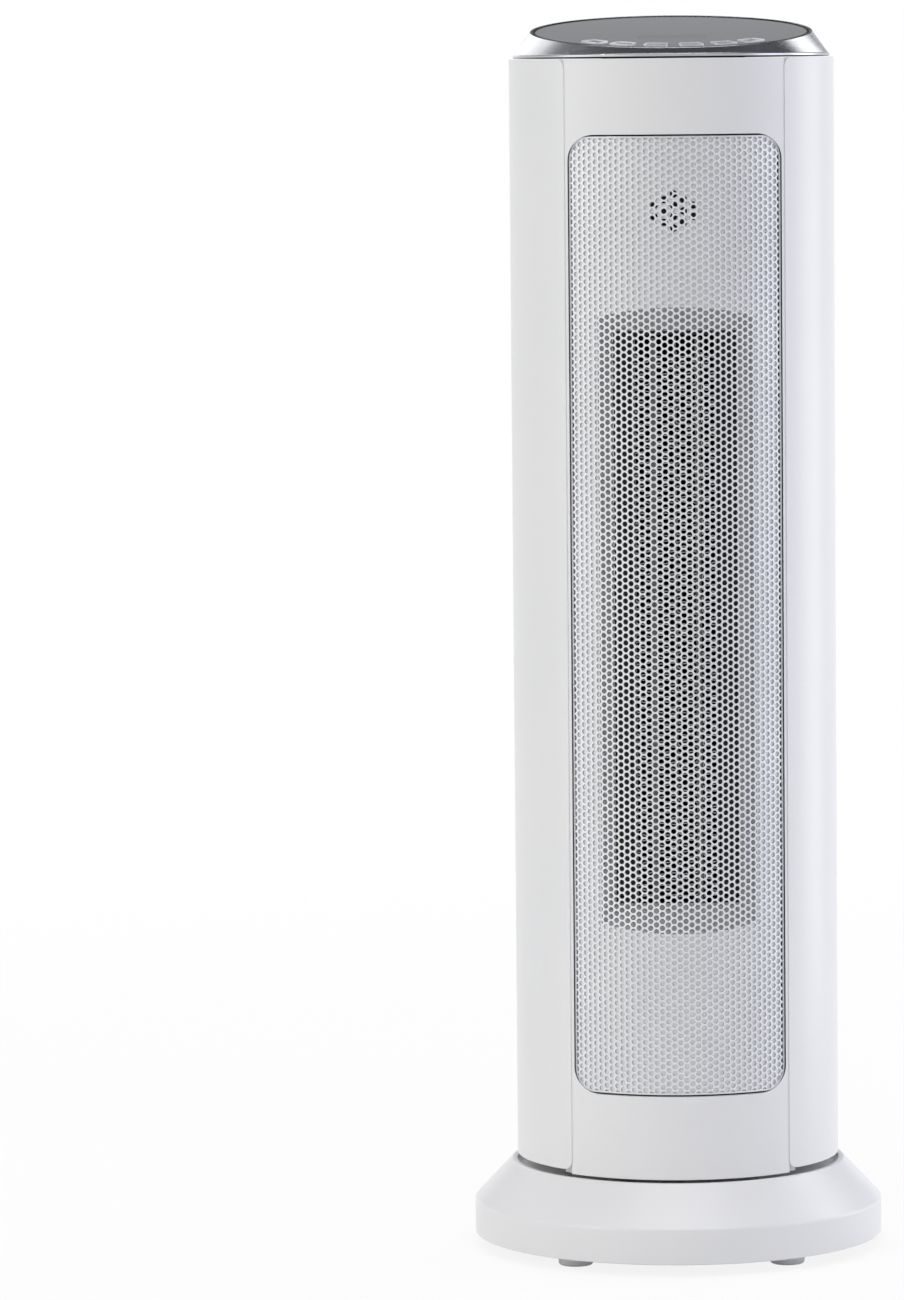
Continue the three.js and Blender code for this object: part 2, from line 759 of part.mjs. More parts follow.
// Front panel with laps that tuck behind the side shells and a round-cornered grille opening
function frontPanel() {
  const outer = bodyRadius - panelRecess;
  const step = Math.asin((casingFrontHalf - panelSideGap) / outer);
  const lapTurn = frontTurn + panelLap;
  const outline = [
    ...arc(outer, -step, step), ...arc(panelLapOuter, step, lapTurn),
    ...arc(panelLapOuter - panelWall, lapTurn, -lapTurn), ...arc(panelLapOuter, -lapTurn, -step),
  ];
  const reach = grilleHalf + grilleEdgeGap;
  const opening = box2(-reach, reach, grilleBottom - grilleEdgeGap, grilleTop + grilleEdgeGap,
    grilleRound + grilleEdgeGap);
  return prism(outline, panelBottom, bodyTop - seatGap)
    .subtract(driven(opening, -bodyRadius - overrun, 0));
}

// Curved sheet with staggered columns of six-sided holes, one column on each facet
function grille() {
  const outer = bodyRadius - panelRecess + grilleProud;
  const columnTurn = (grillePitch * Math.cos(30 * degree)) / outer;
  const sideTurn = Math.asin(grilleHalf / outer);
  const columns = 2 * Math.floor(sideTurn / columnTurn) + 1;
  const reach = (columns * half + 1) * columnTurn;
  const outline = box2(-grilleHalf, grilleHalf, grilleBottom, grilleTop, grilleRound);
  let panel = curvedSheet(outer - grilleSheet, outer, -reach, reach, grilleBottom, grilleTop,
    columnTurn / nearlyShare).intersect(driven(outline, -bodyRadius - overrun, 0));
  const holeHalf = grilleHole * half;
  const hole = Array.from({ length: 6 }, (_, i) => new THREE.Vector2(
    holeHalf * Math.cos((i * 60 + 30) * degree), holeHalf * Math.sin((i * 60 + 30) * degree)));
  const middle = (grilleTop + grilleBottom) * half;
  const rows = Math.floor((grilleTop - grilleBottom - 2 * grilleBorder) / grillePitch);
  for (let c = 0; c < columns; c++) {
    const turn = (c - (columns - 1) * half) * columnTurn;
    const stagger = c % 2;
    for (let r = 0; r < rows - stagger; r++) {
      const height = middle + (r - (rows - 1 - stagger) * half) * grillePitch;
      const edgeSpare = grilleHalf - Math.abs(outer * Math.sin(turn)) - holeHalf * Math.cos(turn);
      if (edgeSpare < grilleBorder) continue;
      const punch = driven(hole, -outer - overrun, -outer + overrun);
      panel = panel.subtract(placed(punch, 0, 0, height, 0, turn));
    }
  }
  return panel;
}

// Corner points of the funnel's mouth or end, grown by a wall
function funnelRing(halfWidth, low, high, grow, depth) {
  return ringAtDepth(box2(-halfWidth - grow, halfWidth + grow, low - grow, high + grow), -depth);
}

// Curved frame behind the grille, with the funnel round the element and the sensor holes
function heaterFrame() {
  const growOut = (funnelMouthHalf - funnelEndHalf) / funnelLength;
  const lip = frameOuter + overrun - funnelMouthY;
  const skin = (grow, past) => loft([
    funnelRing(funnelMouthHalf + growOut * lip, funnelMouthBottom - growOut * lip,
      funnelMouthTop + growOut * lip, grow, frameOuter + overrun),
    funnelRing(funnelEndHalf - growOut * past, funnelEndBottom + growOut * past,
      funnelEndTop - growOut * past, grow, funnelEndY - past),
  ]);
  const envelope = prism(arc(frameOuter, -quarterTurn, quarterTurn), frameBottom, frameTop);
  const edge = frontTurn + frameSpareTurn;
  let frame = curvedSheet(frameOuter - frameWall, frameOuter, -edge, edge, frameBottom, frameTop)
    .add(skin(frameWall, 0).intersect(envelope))
    .subtract(skin(0, seatGap));
  for (let i = 0; i < sensorHoles; i++) {
    const ring = i === 0 ? 0 : sensorPitch;
    const turn = (i * fullTurn) / (sensorHoles - 1);
    const hole = rod(sensorHoleRadius, -overrun, overrun, boreFacets);
    frame = frame.subtract(placed(hole, ring * Math.cos(turn), -frameOuter,
      sensorHeight + ring * Math.sin(turn), quarterTurn));
  }
  return frame;
}

// Remote-control receiver behind the sensor holes
function receiver() {
  const inner = frameOuter - frameWall;
  const front = Math.sqrt(inner ** 2 - (receiverWidth * half) ** 2) * Math.cos(facetTurn * half) - seatGap;
  return block(-receiverWidth * half, receiverWidth * half, -front, receiverDepth - front,
    sensorHeight - receiverHeight * half, sensorHeight + receiverHeight * half);
}

// Ceramic element: two end blocks, four upright bars and a stack of fins
function ceramicElement() {
  const front = -funnelEndY + seatGap;
  const back = front + elementDepth;
  const endHalf = funnelEndHalf - seatGap;
  let element = block(-endHalf, endHalf, front, back, elementBottom, elementBottom + elementEnd)
    .add(block(-endHalf, endHalf, front, back, elementTop - elementEnd, elementTop));
  const room = elementTop - elementBottom - 2 * elementEnd;
  const grid = block(-elementHalf, elementHalf, front + elementFin, back - elementFin,
    elementBottom + elementEnd * half, elementTop - elementEnd * half);
  const cells = Math.floor(room / elementFinPitch);
  const columns = [
    [elementBar - elementHalf, -elementBarOffset - elementBar * half],
    [elementBar * half - elementBarOffset, elementBarOffset - elementBar * half],
    [elementBarOffset + elementBar * half, elementHalf - elementBar],
  ];
  element = element.add(grid);
  for (let i = 0; i < cells; i++) {
    const low = elementBottom + elementEnd + (room * i) / cells;
    for (const [left, right] of columns) {
      element = element.subtract(block(left, right, front - overrun, back + overrun,
        low + elementFin, low + room / cells));
    }
  }
  return element;
}

// Thermal cut-out on top of the element
function thermalCutout() {
  return rod(cutoutRadius, elementTop + seatGap, elementTop + seatGap + cutoutHeight);
}

// Cross-flow impeller: curved blades between two discs and a middle disc, on one shaft
function impeller() {
  const middle = (impellerBottom + impellerTop) * half;
  let wheel = rod(shaftRadius, ductBottom - shaftInMotor, ductTop + shaftAboveDuct)
    .add(rod(hubRadius, impellerBottom, impellerBottom + hubHeight));
  for (const height of [impellerBottom, middle, impellerTop - impellerDisc]) {
    wheel = wheel.add(rod(impellerRadius, height, height + impellerDisc, midFacets));
  }
  const inner = impellerRadius - bladeDepth;
  const lean = (radius) => bladeSweep * ((impellerRadius - radius) / bladeDepth) ** 2;
  for (let i = 0; i < bladeCount; i++) {
    const turn = (i * fullTurn) / bladeCount;
    const radii = [impellerRadius - bladeThickness, impellerRadius - bladeDepth * half, inner];
    const leading = radii.map((r) => onCircle(r, turn + lean(r) + (bladeThickness * half) / r));
    const trailing = radii.map((r) => onCircle(r, turn + lean(r) - (bladeThickness * half) / r));
    wheel = wheel.add(prism([...leading, ...trailing.reverse()], impellerBottom + impellerDisc * half,
      impellerTop - impellerDisc * half));
  }
  return wheel;
}

// One side of the duct in plan, from the element's side to the rear, its ends run past by some length
function ductSide(side, waist, grow, past) {
  return [
    [side * (funnelEndHalf + grow), seatGap - funnelEndY - past],
    [side * (funnelEndHalf + grow), -ductThroatY],
    [side * (waist + grow), impellerY - impellerRadius * half],
    [side * (waist + ductWall + grow), impellerY + impellerRadius * half],
    [side * (ductRearHalf - ductWall + grow), ductRearY],
    [side * (ductRearHalf - ductWall + grow), ductRearY + past],
  ];
}

// Blower duct: a wide belly on one side, a close tongue on the other, and straps for the cover screws
function blowerDuct() {
  const walls = (grow, past) => [
    ...ductSide(1, ductWaist, grow, past), ...ductSide(-1, ductBelly, grow, past).reverse(),
  ].map(([x, y]) => new THREE.Vector2(x, y));
  const shaftHole = placed(rod(ductShaftHole, ductBottom - overrun, ductTop + overrun), 0, impellerY, 0);
  let duct = prism(walls(ductWall, 0), ductBottom, ductTop)
    .subtract(prism(walls(0, overrun), ductBottom + ductWall, ductTop - ductWall))
    .subtract(shaftHole);
  const bossTop = coverFacetY(bodyRadius - coverWall, plateScrewX + strapBossRadius) - seatGap;
  for (const height of plateScrewHeights) {
    const low = height - strapHeight * half;
    const boss = rod(strapBossRadius, 0, bossTop - strapY, screwFacets);
    const bore = rod(screwShankRadius + seatGap, strapThickness, bodyRadius, boreFacets);
    duct = duct.add(block(-ductRearHalf + ductWall * half, ductRearHalf - ductWall * half, strapY,
      strapY + strapThickness - seatGap, low, low + strapHeight))
      .add(placed(boss, -plateScrewX, strapY, height, -quarterTurn))
      .subtract(placed(bore, -plateScrewX, strapY, height, -quarterTurn));
  }
  return duct;
}

// Fan motor hung under the duct, bored for the impeller's shaft
function fanMotor() {
  const top = ductBottom - seatGap;
  return rod(fanMotorRadius, top - fanMotorHeight, top, midFacets)
    .add(rod(fanMotorFlangeRadius, top - fanMotorFlange, top, midFacets))
    .subtract(rod(shaftRadius + seatGap, ductBottom - shaftInMotor - seatGap, top + overrun));
}

// Bearing cap on top of the duct
function upperBearing() {
  const low = ductTop + seatGap;
  return rod(bearingCapRadius, low, low + bearingCapHeight)
    .subtract(rod(shaftRadius + seatGap, low - overrun, ductTop + shaftAboveDuct + seatGap));
}

// Corner points of the hand grip's pocket, grown by a wall
function gripRing(taper, slope, grow, y) {
  return ringAtDepth(box2(taper - gripHalf - grow, gripHalf + grow - taper,
    gripBottom + slope - grow, gripTop - slope + grow, gripRound), y);
}

// Depth of the cover's faceted surface at some distance from its middle
function coverFacetY(radius, x) {
  const near = Math.floor(Math.abs(x) / slotColumnPitch) * slotColumnPitch;
  const far = near + slotColumnPitch;
  const [nearY, farY] = [near, far].map((crease) => Math.sqrt(radius ** 2 - crease ** 2));
  return nearY + ((farY - nearY) * (Math.abs(x) - near)) / (far - near);
}

// How much of an inlet slot is open, counted from the middle of the cover: all, the inner half or nothing
function slotOpenShare(row, column) {
  const outerColumn = column === 0 || column === 3;
  const firstHalf = Math.round(slotRows * halfOpenAtShare);
  const firstBlind = Math.round(slotRows * blindFromShare);
  if (row === 0 || row === slotRows - 1 || (column === 3 && row >= firstBlind)) return 0;
  if (outerColumn && (row === 1 || row === slotRows - 2)) return 0;
  if (column === 0 && row >= firstHalf && row < firstHalf + halfOpenRows) return half;
  if (column === 3 && row >= firstBlind - halfOpenRows) return half;
  return 1;
}

// True where a screw plate takes the place of a slot
function slotIsPlate(row, column) {
  const height = slotTop - row * slotPitch - slotHeight * half;
  const near = slotPitch + slotHeight;
  return column === 2 && plateScrewHeights.some((screw) => Math.abs(height - screw) < near);
}

// The four columns of inlet slots, cut through or left as shallow pockets
function cutSlots(cover) {
  for (let column = 0; column < 4; column++) {
    const side = column < 2 ? 1 : -1;
    const near = (column === 0 || column === 3 ? slotColumnPitch : 0) + slotRib * half;
    const far = near + slotColumnPitch - slotRib;
    for (let row = 0; row < slotRows; row++) {
      if (slotIsPlate(row, column)) continue;
      const top = slotTop - row * slotPitch;
      const low = top - slotHeight;
      const open = near + (far - near) * slotOpenShare(row, column);
      if (open > near) {
        const xs = [side * near, side * open].sort((p, q) => p - q);
        cover = cover.subtract(block(...xs, gripFloorY, bodyRadius + overrun, low, top));
      }
      if (open < far) {
        const at = (x, y) => new THREE.Vector2(side * x, y);
        const floor = [near, far].map((x) => at(x, coverFacetY(bodyRadius, x) - blindDepth));
        const air = [far, near].map((x) => at(x, bodyRadius + overrun));
        cover = cover.subtract(prism([...floor, ...air], low, top));
      }
    }
  }
  return cover;
}

// Rear cover: curved panel between two flat screw ledges, with slots, hand grip and switch recess
function rearCover() {
  const low = rearWindowBottom + seatGap;
  const high = rearWindowTop - seatGap;
  const ledgeEnd = Math.sqrt((casingInner - seatGap) ** 2 - ledgeY ** 2);
  const creases = [-2, -1, 0, 1, 2].map((k) => k * slotColumnPitch);
  const onArc = (radius, x) => [x, Math.sqrt(radius ** 2 - x ** 2)];
  const outerCorner = onArc(bodyRadius, coverHalf);
  const innerRadius = bodyRadius - coverWall;
  const innerCorner = onArc(innerRadius, coverHalf - coverWall);
  const outline = rounded([
    [ledgeEnd, ledgeY - coverWall], [ledgeEnd, ledgeY], [coverHalf, ledgeY],
    [...outerCorner, coverCorner], ...creases.map((x) => onArc(bodyRadius, x)).reverse(),
    [-outerCorner[0], outerCorner[1], coverCorner], [-coverHalf, ledgeY], [-ledgeEnd, ledgeY],
    [-ledgeEnd, ledgeY - coverWall], [coverWall - coverHalf, ledgeY - coverWall],
    [-innerCorner[0], innerCorner[1]], ...creases.map((x) => onArc(innerRadius, x)),
    innerCorner, [coverHalf - coverWall, ledgeY - coverWall],
  ]);
  const window = box2(-casingRearHalf, casingRearHalf, low, high, rearWindowRound);
  const envelope = prism(arc(bodyRadius - coverWall * half, quarterTurn, 3 * quarterTurn), low, high);
  const cup = loft([
    gripRing(gripTaper, gripSlope, coverWall, gripFloorY - coverWall),
    gripRing(0, 0, coverWall, bodyRadius),
  ]);
  const pocket = loft([
    gripRing(gripTaper, gripSlope, 0, gripFloorY), gripRing(0, 0, 0, bodyRadius + seatGap),
  ]);
  const recess = box2(-recessWidth * half, recessWidth * half,
    switchHeight - recessHeight * half, switchHeight + recessHeight * half);
  let cover = prism(outline, low, high).intersect(driven(window, 0, bodyRadius + overrun))
    .add(cup.intersect(envelope)).subtract(pocket)
    .subtract(driven(recess, rockerPivotY, bodyRadius + overrun));
  cover = cutSlots(cover);
  for (const height of rearScrewHeights) {
    for (const side of [-1, 1]) {
      const hole = rod(screwShankRadius + seatGap, -overrun, overrun, boreFacets);
      cover = cover.subtract(placed(hole, side * rearScrewX, ledgeY, height, -quarterTurn));
    }
  }
  for (const height of plateScrewHeights) {
    const hole = rod(screwShankRadius + seatGap, -overrun, overrun, boreFacets);
    cover = cover.subtract(placed(hole, -plateScrewX, bodyRadius, height, -quarterTurn));
  }
  return cover;
}

// Pan-head screw along Z, its head's underside at zero
function screw() {
  return turned([
    [0, -screwLength], [screwShankRadius, -screwLength], [screwShankRadius, 0], [screwHeadRadius, 0],
    [screwHeadRadius, screwHead * half], [screwHeadRadius * half, screwHead], [0, screwHead],
  ], screwFacets);
}

// Switch body with its mouth for the rocker and two pivot holes
function switchBezel() {
  const side = bezelWidth * half;
  const mouth = rockerHeight * half + seatGap;
  const low = switchHeight - bezelHeight * half;
  const pin = rockerHeight * half + rockerPinReach + seatGap;
  const pivot = rod(rockerPinRadius + seatGap, switchHeight - pin, switchHeight + pin, screwFacets);
  const floor = rockerPivotY - rockerHeel - 4 * seatGap;
  return block(-side, side, bezelFaceY - bezelDepth, bezelFaceY, low, low + bezelHeight)
    .subtract(block(-bezelMouthHalf, bezelMouthHalf, floor, bezelFaceY + overrun,
      switchHeight - mouth, switchHeight + mouth))
    .subtract(placed(pivot, 0, rockerPivotY, 0));
}

// Rocker with a dished face and its two pivot pins, drawn level about its own axis
function rocker() {
  const dish = rockerFace - rockerDish;
  const outline = [
    [-rockerHalf, rockerFace], [-rockerHalf, dish - rockerPinRadius], [-rockerHeel, -rockerHeel],
    [rockerHeel, -rockerHeel], [rockerHalf, dish - rockerPinRadius], [rockerHalf, rockerFace], [0, dish],
  ].map(([x, y]) => new THREE.Vector2(x, y));
  const tall = rockerHeight * half;
  return prism(outline, -tall, tall)
    .add(rod(rockerPinRadius, -tall - rockerPinReach, tall + rockerPinReach, screwFacets));
}

// Power board standing on the tower floor, with two relays and a capacitor
function powerBoard() {
  const low = bodyBottom + floorThickness + seatGap;
  const side = powerBoardWidth * half;
  const back = powerBoardY + boardThickness;
  const capacitor = rod(capacitorRadius, -boardThickness * half, capacitorLength);
  return block(-side, side, powerBoardY, back, low, low + powerBoardHeight)
    .add(block(relaySize - side, 2 * relaySize - side, back - boardThickness * half, back + relaySize,
      low + relaySize, low + 2 * relaySize))
    .add(block(side - 2 * relaySize, side - relaySize, back - boardThickness * half, back + relaySize,
      low + relaySize, low + 2 * relaySize))
    .add(placed(capacitor, 0, back, low + relaySize, -quarterTurn));
}

// Slanting ring between the body and the control panel, with a ledge inside that carries the panel
function lidRing() {
  const low = bodyTop + lidGap;
  const ledge = lidTopRadius - lidRim - lidLedge;
  const slanted = (radius, drop) => (turn) => {
    const p = onCircle(radius, turn);
    return new THREE.Vector3(p.x, p.y, lidMiddle + lidSlope * p.y - drop);
  };
  const level = (radius, height) => (turn) => {
    const p = onCircle(radius, turn);
    return new THREE.Vector3(p.x, p.y, height);
  };
  const profile = [
    level(lidRadius - lidFoot, low), level(lidRadius, low), level(lidRadius, low + lidLip),
    slanted(lidTopRadius, 0), slanted(lidTopRadius - lidRim, 0),
    slanted(lidTopRadius - lidRim, lidLedgeDrop),
    slanted(ledge, lidLedgeDrop), slanted(ledge, lidLedgeDrop + lidLedgeThickness),
  ];
  const turns = Array.from({ length: wideFacets }, (_, i) => (i * fullTurn) / wideFacets);
  return loft(turns.map((turn) => profile.map((at) => at(turn))), true);
}

// Rounded outline of one key, grown by a margin, at its place on the arc
function keyOutline(index, grow) {
  const turn = (index - (keyCount - 1) * half) * keyPitchTurn;
  const spread = (keyWidth * half) / keyRadius;
  const margin = grow / keyRadius;
  const corner = (radius, side) => {
    const p = onCircle(radius, turn + side * (spread + margin));
    return [p.x, p.y, keyRound + grow];
  };
  const near = keyRadius - keyLength * half - grow;
  const far = keyRadius + keyLength * half + grow;
  return rounded([corner(far, -1), corner(far, 1), corner(near, 1), corner(near, -1)], softSteps);
}

// Outline of the display window, drawn in by a margin
function windowOutline(inset) {
  const [side, tall] = [windowWidth * half - inset, windowLength * half - inset];
  return box2(-side, side, windowY - tall, windowY + tall, windowRound);
}

// Round control panel, in the lid's own slanted frame
function controlPanel() {
  const top = -controlDrop;
  const low = top - controlThickness;
  let panel = rod(lidTopRadius - lidRim - controlInset, low, top, wideFacets)
    .subtract(prism(windowOutline(windowLip), low - overrun, top + overrun))
    .subtract(prism(windowOutline(-seatGap), top - windowThickness - seatGap, top + overrun));
  for (let i = 0; i < keyCount; i++) {
    panel = panel.subtract(prism(keyOutline(i, seatGap), low - overrun, top + overrun));
  }
  return panel;
}

// One key with its hidden flange
function key(index) {
  const panelLow = -controlDrop - controlThickness;
  return prism(keyOutline(index, 0), panelLow - seatGap - keyFlange, keyProud - controlDrop)
    .add(prism(keyOutline(index, keyFlange), panelLow - seatGap - keyFlange, panelLow - seatGap));
}

// Board under the keys and the display
function controlBoard() {
  const top = -controlDrop - controlThickness - keyFlange - keyTravel - seatGap - 2 * controlBoardGap;
  const edge = Math.acos(-controlBoardY / controlBoardRadius);
  return prism(arc(controlBoardRadius, -edge, edge, 2 * facetTurn), top - boardThickness, top);
}

// A free stretch of cord, as a tube through points set by hand
function cordStretch(route, steps) {
  const points = route.map((p) => new THREE.Vector3(...p));
  const extrudePath = new THREE.CatmullRomCurve3(points, false, "centripetal");
  const turns = Array.from({ length: cordSides }, (_, i) => (i * fullTurn) / cordSides);
  const section = new THREE.Shape(turns.map((turn) => onCircle(cordRadius, turn)));
  return solid(new THREE.ExtrudeGeometry(section, { steps, extrudePath, bevelEnabled: false }));
}

// Centre line of the coil after some turns: it spirals in, climbs a layer as it reverses, and spirals out
function coilPoint(turns) {
  const climbMiddle = coilTurnsIn + coilTurnsClimb * half;
  const radius = coilRadius - coilPitch * (climbMiddle - Math.abs(turns - climbMiddle));
  const climbed = THREE.MathUtils.clamp((turns - coilTurnsIn) / coilTurnsClimb, 0, 1);
  const angle = turns * fullTurn;
  return new THREE.Vector3(coilCentre[0] + radius * Math.cos(angle),
    coilCentre[1] + radius * Math.sin(angle), coilLow + coilLayer * climbed);
}

// Points along the coil, with a straight end of one cord diameter at each side
function coilPath() {
  const total = coilTurnsIn + coilTurnsClimb + coilTurnsOut;
  const count = Math.round(total * coilSteps);
  const points = Array.from({ length: count + 1 }, (_, i) => coilPoint((total * i) / count));
  const tangent = (turns, sign) => new THREE.Vector3(
    -Math.sin(turns * fullTurn), Math.cos(turns * fullTurn), 0).multiplyScalar(sign * 2 * cordRadius);
  return [
    points[0].clone().add(tangent(0, -1)), ...points, points.at(-1).clone().add(tangent(total, 1)),
  ];
}

// Rings of the coiled cord, six-sided, square to the path
function coilRings(points) {
  return points.map((point, i) => {
    const [last, next] = [points[Math.max(i - 1, 0)], points[Math.min(i + 1, points.length - 1)]];
    const ahead = next.clone().sub(last).normalize();
    const side = new THREE.Vector3(ahead.y, -ahead.x, 0).normalize();
    const up = side.clone().cross(ahead);
    return Array.from({ length: coilSides }, (_, k) => {
      const angle = ((k + half) * fullTurn) / coilSides;
      return point.clone().addScaledVector(side, cordRadius * Math.cos(angle))
        .addScaledVector(up, cordRadius * Math.sin(angle));
    });
  });
}

// Least gap between stretches of the coil that are more than half a turn apart
function coilSelfGap(points) {
  let least = Infinity;
  for (let i = 0; i < points.length; i++) {
    for (let j = i + coilSteps * half; j < points.length; j++) {
      least = Math.min(least, points[i].distanceTo(points[j]) - 2 * cordRadius);
    }
  }
  return least;
}

// Coil of spare cord behind the tower
function cordCoil() {
  const points = coilPath();
  console.log(`cord coil: least gap to itself ${coilSelfGap(points).toFixed(2)} mm`);
  return loft(coilRings(points));
}

// Flat contour plug, lying down, drawn with its cord end at zero and its face towards -Y
function plug() {
  const shoulder = plugLength * plugShoulderShare;
  const tail = plugTailWidth * half;
  const wide = plugWidth * half;
  const outline = rounded([
    [-tail, 0], [tail, 0], [wide, -shoulder, plugTailWidth * half], [wide, -plugLength],
    [-wide, -plugLength], [-wide, -shoulder, plugTailWidth * half],
  ]);
  return prism(outline, 0, plugHeight);
}

// A plug pin, seated in front of the plug's face
function plugPin() {
  return placed(rod(plugPinRadius, seatGap, plugPinLength, screwFacets), 0, 0, 0, quarterTurn);
}

// Base group: everything that stands still
function baseGroup() {
  const group = new THREE.Group();
  group.add(piece("base_shell", baseShell(), white), piece("base_plate", basePlate(), white));
  const corners = [[-footX, -footY], [footX, -footY], [footX, footY], [-footX, footY]];
  corners.forEach(([x, y], i) => {
    const mesh = piece(`foot_${i + 1}`, foot(), rubber);
    mesh.position.set(x, y, 0);
    group.add(mesh);
  });
  const motor = piece("oscillation_motor", driveMotor(), steel);
  motor.position.set(0, -crankOffset, 0);
  const crankMesh = piece("crank", crank(), acetal);
  crankMesh.position.set(0, -crankOffset, 0);
  const plungerMesh = piece("tip_plunger", tipPlunger(), acetal);
  plungerMesh.position.set(0, plungerY, 0);
  group.add(motor, crankMesh, plungerMesh, piece("tip_switch", tipSwitch(), black),
    piece("bearing_ring", bearingRing(), acetal), piece("strain_relief", strainRelief(), black));
  return group;
}

// Tower group: everything that swings on the base
function towerGroup() {
  const group = new THREE.Group();
  group.add(
    piece("swivel_neck", swivelNeck(), acetal), piece("crank_arm", crankArm(), acetal),
    piece("tower_floor", towerFloor(), white), piece("casing", casing(), white),
    piece("front_panel", frontPanel(), white), piece("front_grille", grille(), perforated),
    piece("heater_frame", heaterFrame(), white), piece("ir_receiver", receiver(), black),
    piece("ceramic_element", ceramicElement(), aluminium), piece("blower_duct", blowerDuct(), black),
    piece("rear_cover", rearCover(), white), piece("switch_bezel", switchBezel(), black),
    piece("power_board", powerBoard(), board),
  );
  const cutout = piece("thermal_cutout", thermalCutout(), steel);
  cutout.position.y = -funnelEndY + elementDepth * half + seatGap;
  group.add(cutout);
  for (const [name, body, finish] of [
    ["impeller", impeller(), black], ["fan_motor", fanMotor(), steel],
    ["upper_bearing", upperBearing(), acetal],
  ]) {
    const mesh = piece(name, body, finish);
    mesh.position.y = impellerY;
    group.add(mesh);
  }
  const rockerMesh = piece("rocker", rocker(), red);
  rockerMesh.position.set(0, rockerPivotY, switchHeight);
  rockerMesh.rotation.z = rockerTilt;
  group.add(rockerMesh, ...screws());
  return group;
}

// All screws of the rear cover
function screws() {
  const list = [];
  const add = (name, x, y, z) => {
    const mesh = piece(name, screw(), screwSteel);
    mesh.position.set(x, y, z);
    mesh.rotation.x = -quarterTurn;
    list.push(mesh);
  };
  rearScrewHeights.forEach((height, i) => {
    add(`rear_screw_${2 * i + 1}`, rearScrewX, ledgeY + seatGap, height);
    add(`rear_screw_${2 * i + 2}`, -rearScrewX, ledgeY + seatGap, height);
  });
  const face = coverFacetY(bodyRadius, plateScrewX - screwHeadRadius);
  plateScrewHeights.forEach((height, i) => {
    add(`plate_screw_${i + 1}`, -plateScrewX, face + seatGap, height);
  });
  return list;
}

// Lid group: the ring stands level, the panel and keys lie in the slanted frame
function lidGroup() {
  const group = new THREE.Group();
  const slanted = new THREE.Group();
  slanted.position.z = lidMiddle;
  slanted.rotation.x = lidTilt;
  const window = prism(windowOutline(0), -controlDrop - windowThickness, -controlDrop);
  slanted.add(
    piece("control_panel", controlPanel(), darkGloss), piece("control_board", controlBoard(), board),
    piece("display_window", window, glassDark),
  );
  for (let i = 0; i < keyCount; i++) slanted.add(piece(`key_${i + 1}`, key(i), darkGloss));
  group.add(piece("lid_ring", lidRing(), satin), slanted);
  return group;
}

// Cord group: two free stretches, the coil and the plug
function cordGroup() {
  const group = new THREE.Group();
  group.add(
    piece("cord_run", cordStretch(cordRoute, cordSteps), white), piece("cord_coil", cordCoil(), white),
    piece("cord_lead", cordStretch(leadRoute, cordSteps * half), white),
  );
  const end = leadRoute.at(-1);
  const lying = new THREE.Group();
  lying.position.set(end[0], end[1] - seatGap, end[2] - plugHeight * half);
  lying.add(piece("plug", plug(), white));
  [-1, 1].forEach((side, i) => {
    const pin = piece(`plug_pin_${i + 1}`, plugPin(), steel);
    pin.position.set(side * plugPinSpacing * half, -plugLength, plugHeight * half);
    lying.add(pin);
  });
  group.add(lying);
  return group;
}

const heater = new THREE.Group();
heater.add(baseGroup(), towerGroup(), lidGroup(), cordGroup());
export default heater;
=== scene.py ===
"""A white tower heater with a ceramic element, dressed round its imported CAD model."""

import math
from contextlib import contextmanager

import bmesh
import bpy
from bpy.props import FloatProperty, FloatVectorProperty, IntProperty, PointerProperty
from mathutils import Matrix, Vector


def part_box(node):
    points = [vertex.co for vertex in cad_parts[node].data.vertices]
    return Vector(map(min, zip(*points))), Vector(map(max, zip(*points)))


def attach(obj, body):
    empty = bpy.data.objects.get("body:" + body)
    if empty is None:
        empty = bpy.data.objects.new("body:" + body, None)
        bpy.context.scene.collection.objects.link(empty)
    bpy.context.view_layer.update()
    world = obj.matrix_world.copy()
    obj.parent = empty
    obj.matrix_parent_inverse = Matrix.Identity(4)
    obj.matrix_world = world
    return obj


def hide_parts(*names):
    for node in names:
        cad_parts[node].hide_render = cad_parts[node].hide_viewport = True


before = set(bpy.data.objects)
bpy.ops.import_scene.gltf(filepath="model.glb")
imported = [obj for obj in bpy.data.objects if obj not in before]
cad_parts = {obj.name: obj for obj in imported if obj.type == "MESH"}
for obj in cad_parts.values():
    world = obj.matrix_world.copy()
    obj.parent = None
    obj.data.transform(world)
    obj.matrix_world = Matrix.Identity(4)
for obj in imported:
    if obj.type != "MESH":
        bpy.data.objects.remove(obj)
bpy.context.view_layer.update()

bl_info = {
    "name": "Tower heater",
    "version": (1, 0, 0),
    "blender": (4, 5, 0),
    "location": "3D View > Sidebar > Heater",
    "description": "Models a ceramic tower heater piece by piece round its CAD model",
    "category": "Object",
}

# Pieces are drawn in millimetres and brought to metres when they are finished
MM = 0.001
DEGREE = math.pi / 180
TURN = 2 * math.pi
# Height of the image in pixels, and the camera's sensor in millimetres
IMAGE_HEIGHT, SENSOR = 1300, 36


def box_mm(node):
    """The lowest and highest corner of a CAD node, in millimetres."""
    low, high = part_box(node)
    return low / MM, high / MM


def heights(*nodes):
    """The heights of the middles of CAD nodes."""
    return [(low.z + high.z) / 2 for low, high in map(box_mm, nodes)]


def linear(hex_colour):
    """The linear colour of an sRGB hex value."""
    parts = [int(hex_colour[i:i + 2], 16) / 255 for i in (1, 3, 5)]
    return tuple(c / 12.92 if c <= 0.04045 else ((c + 0.055) / 1.055) ** 2.4 for c in parts)


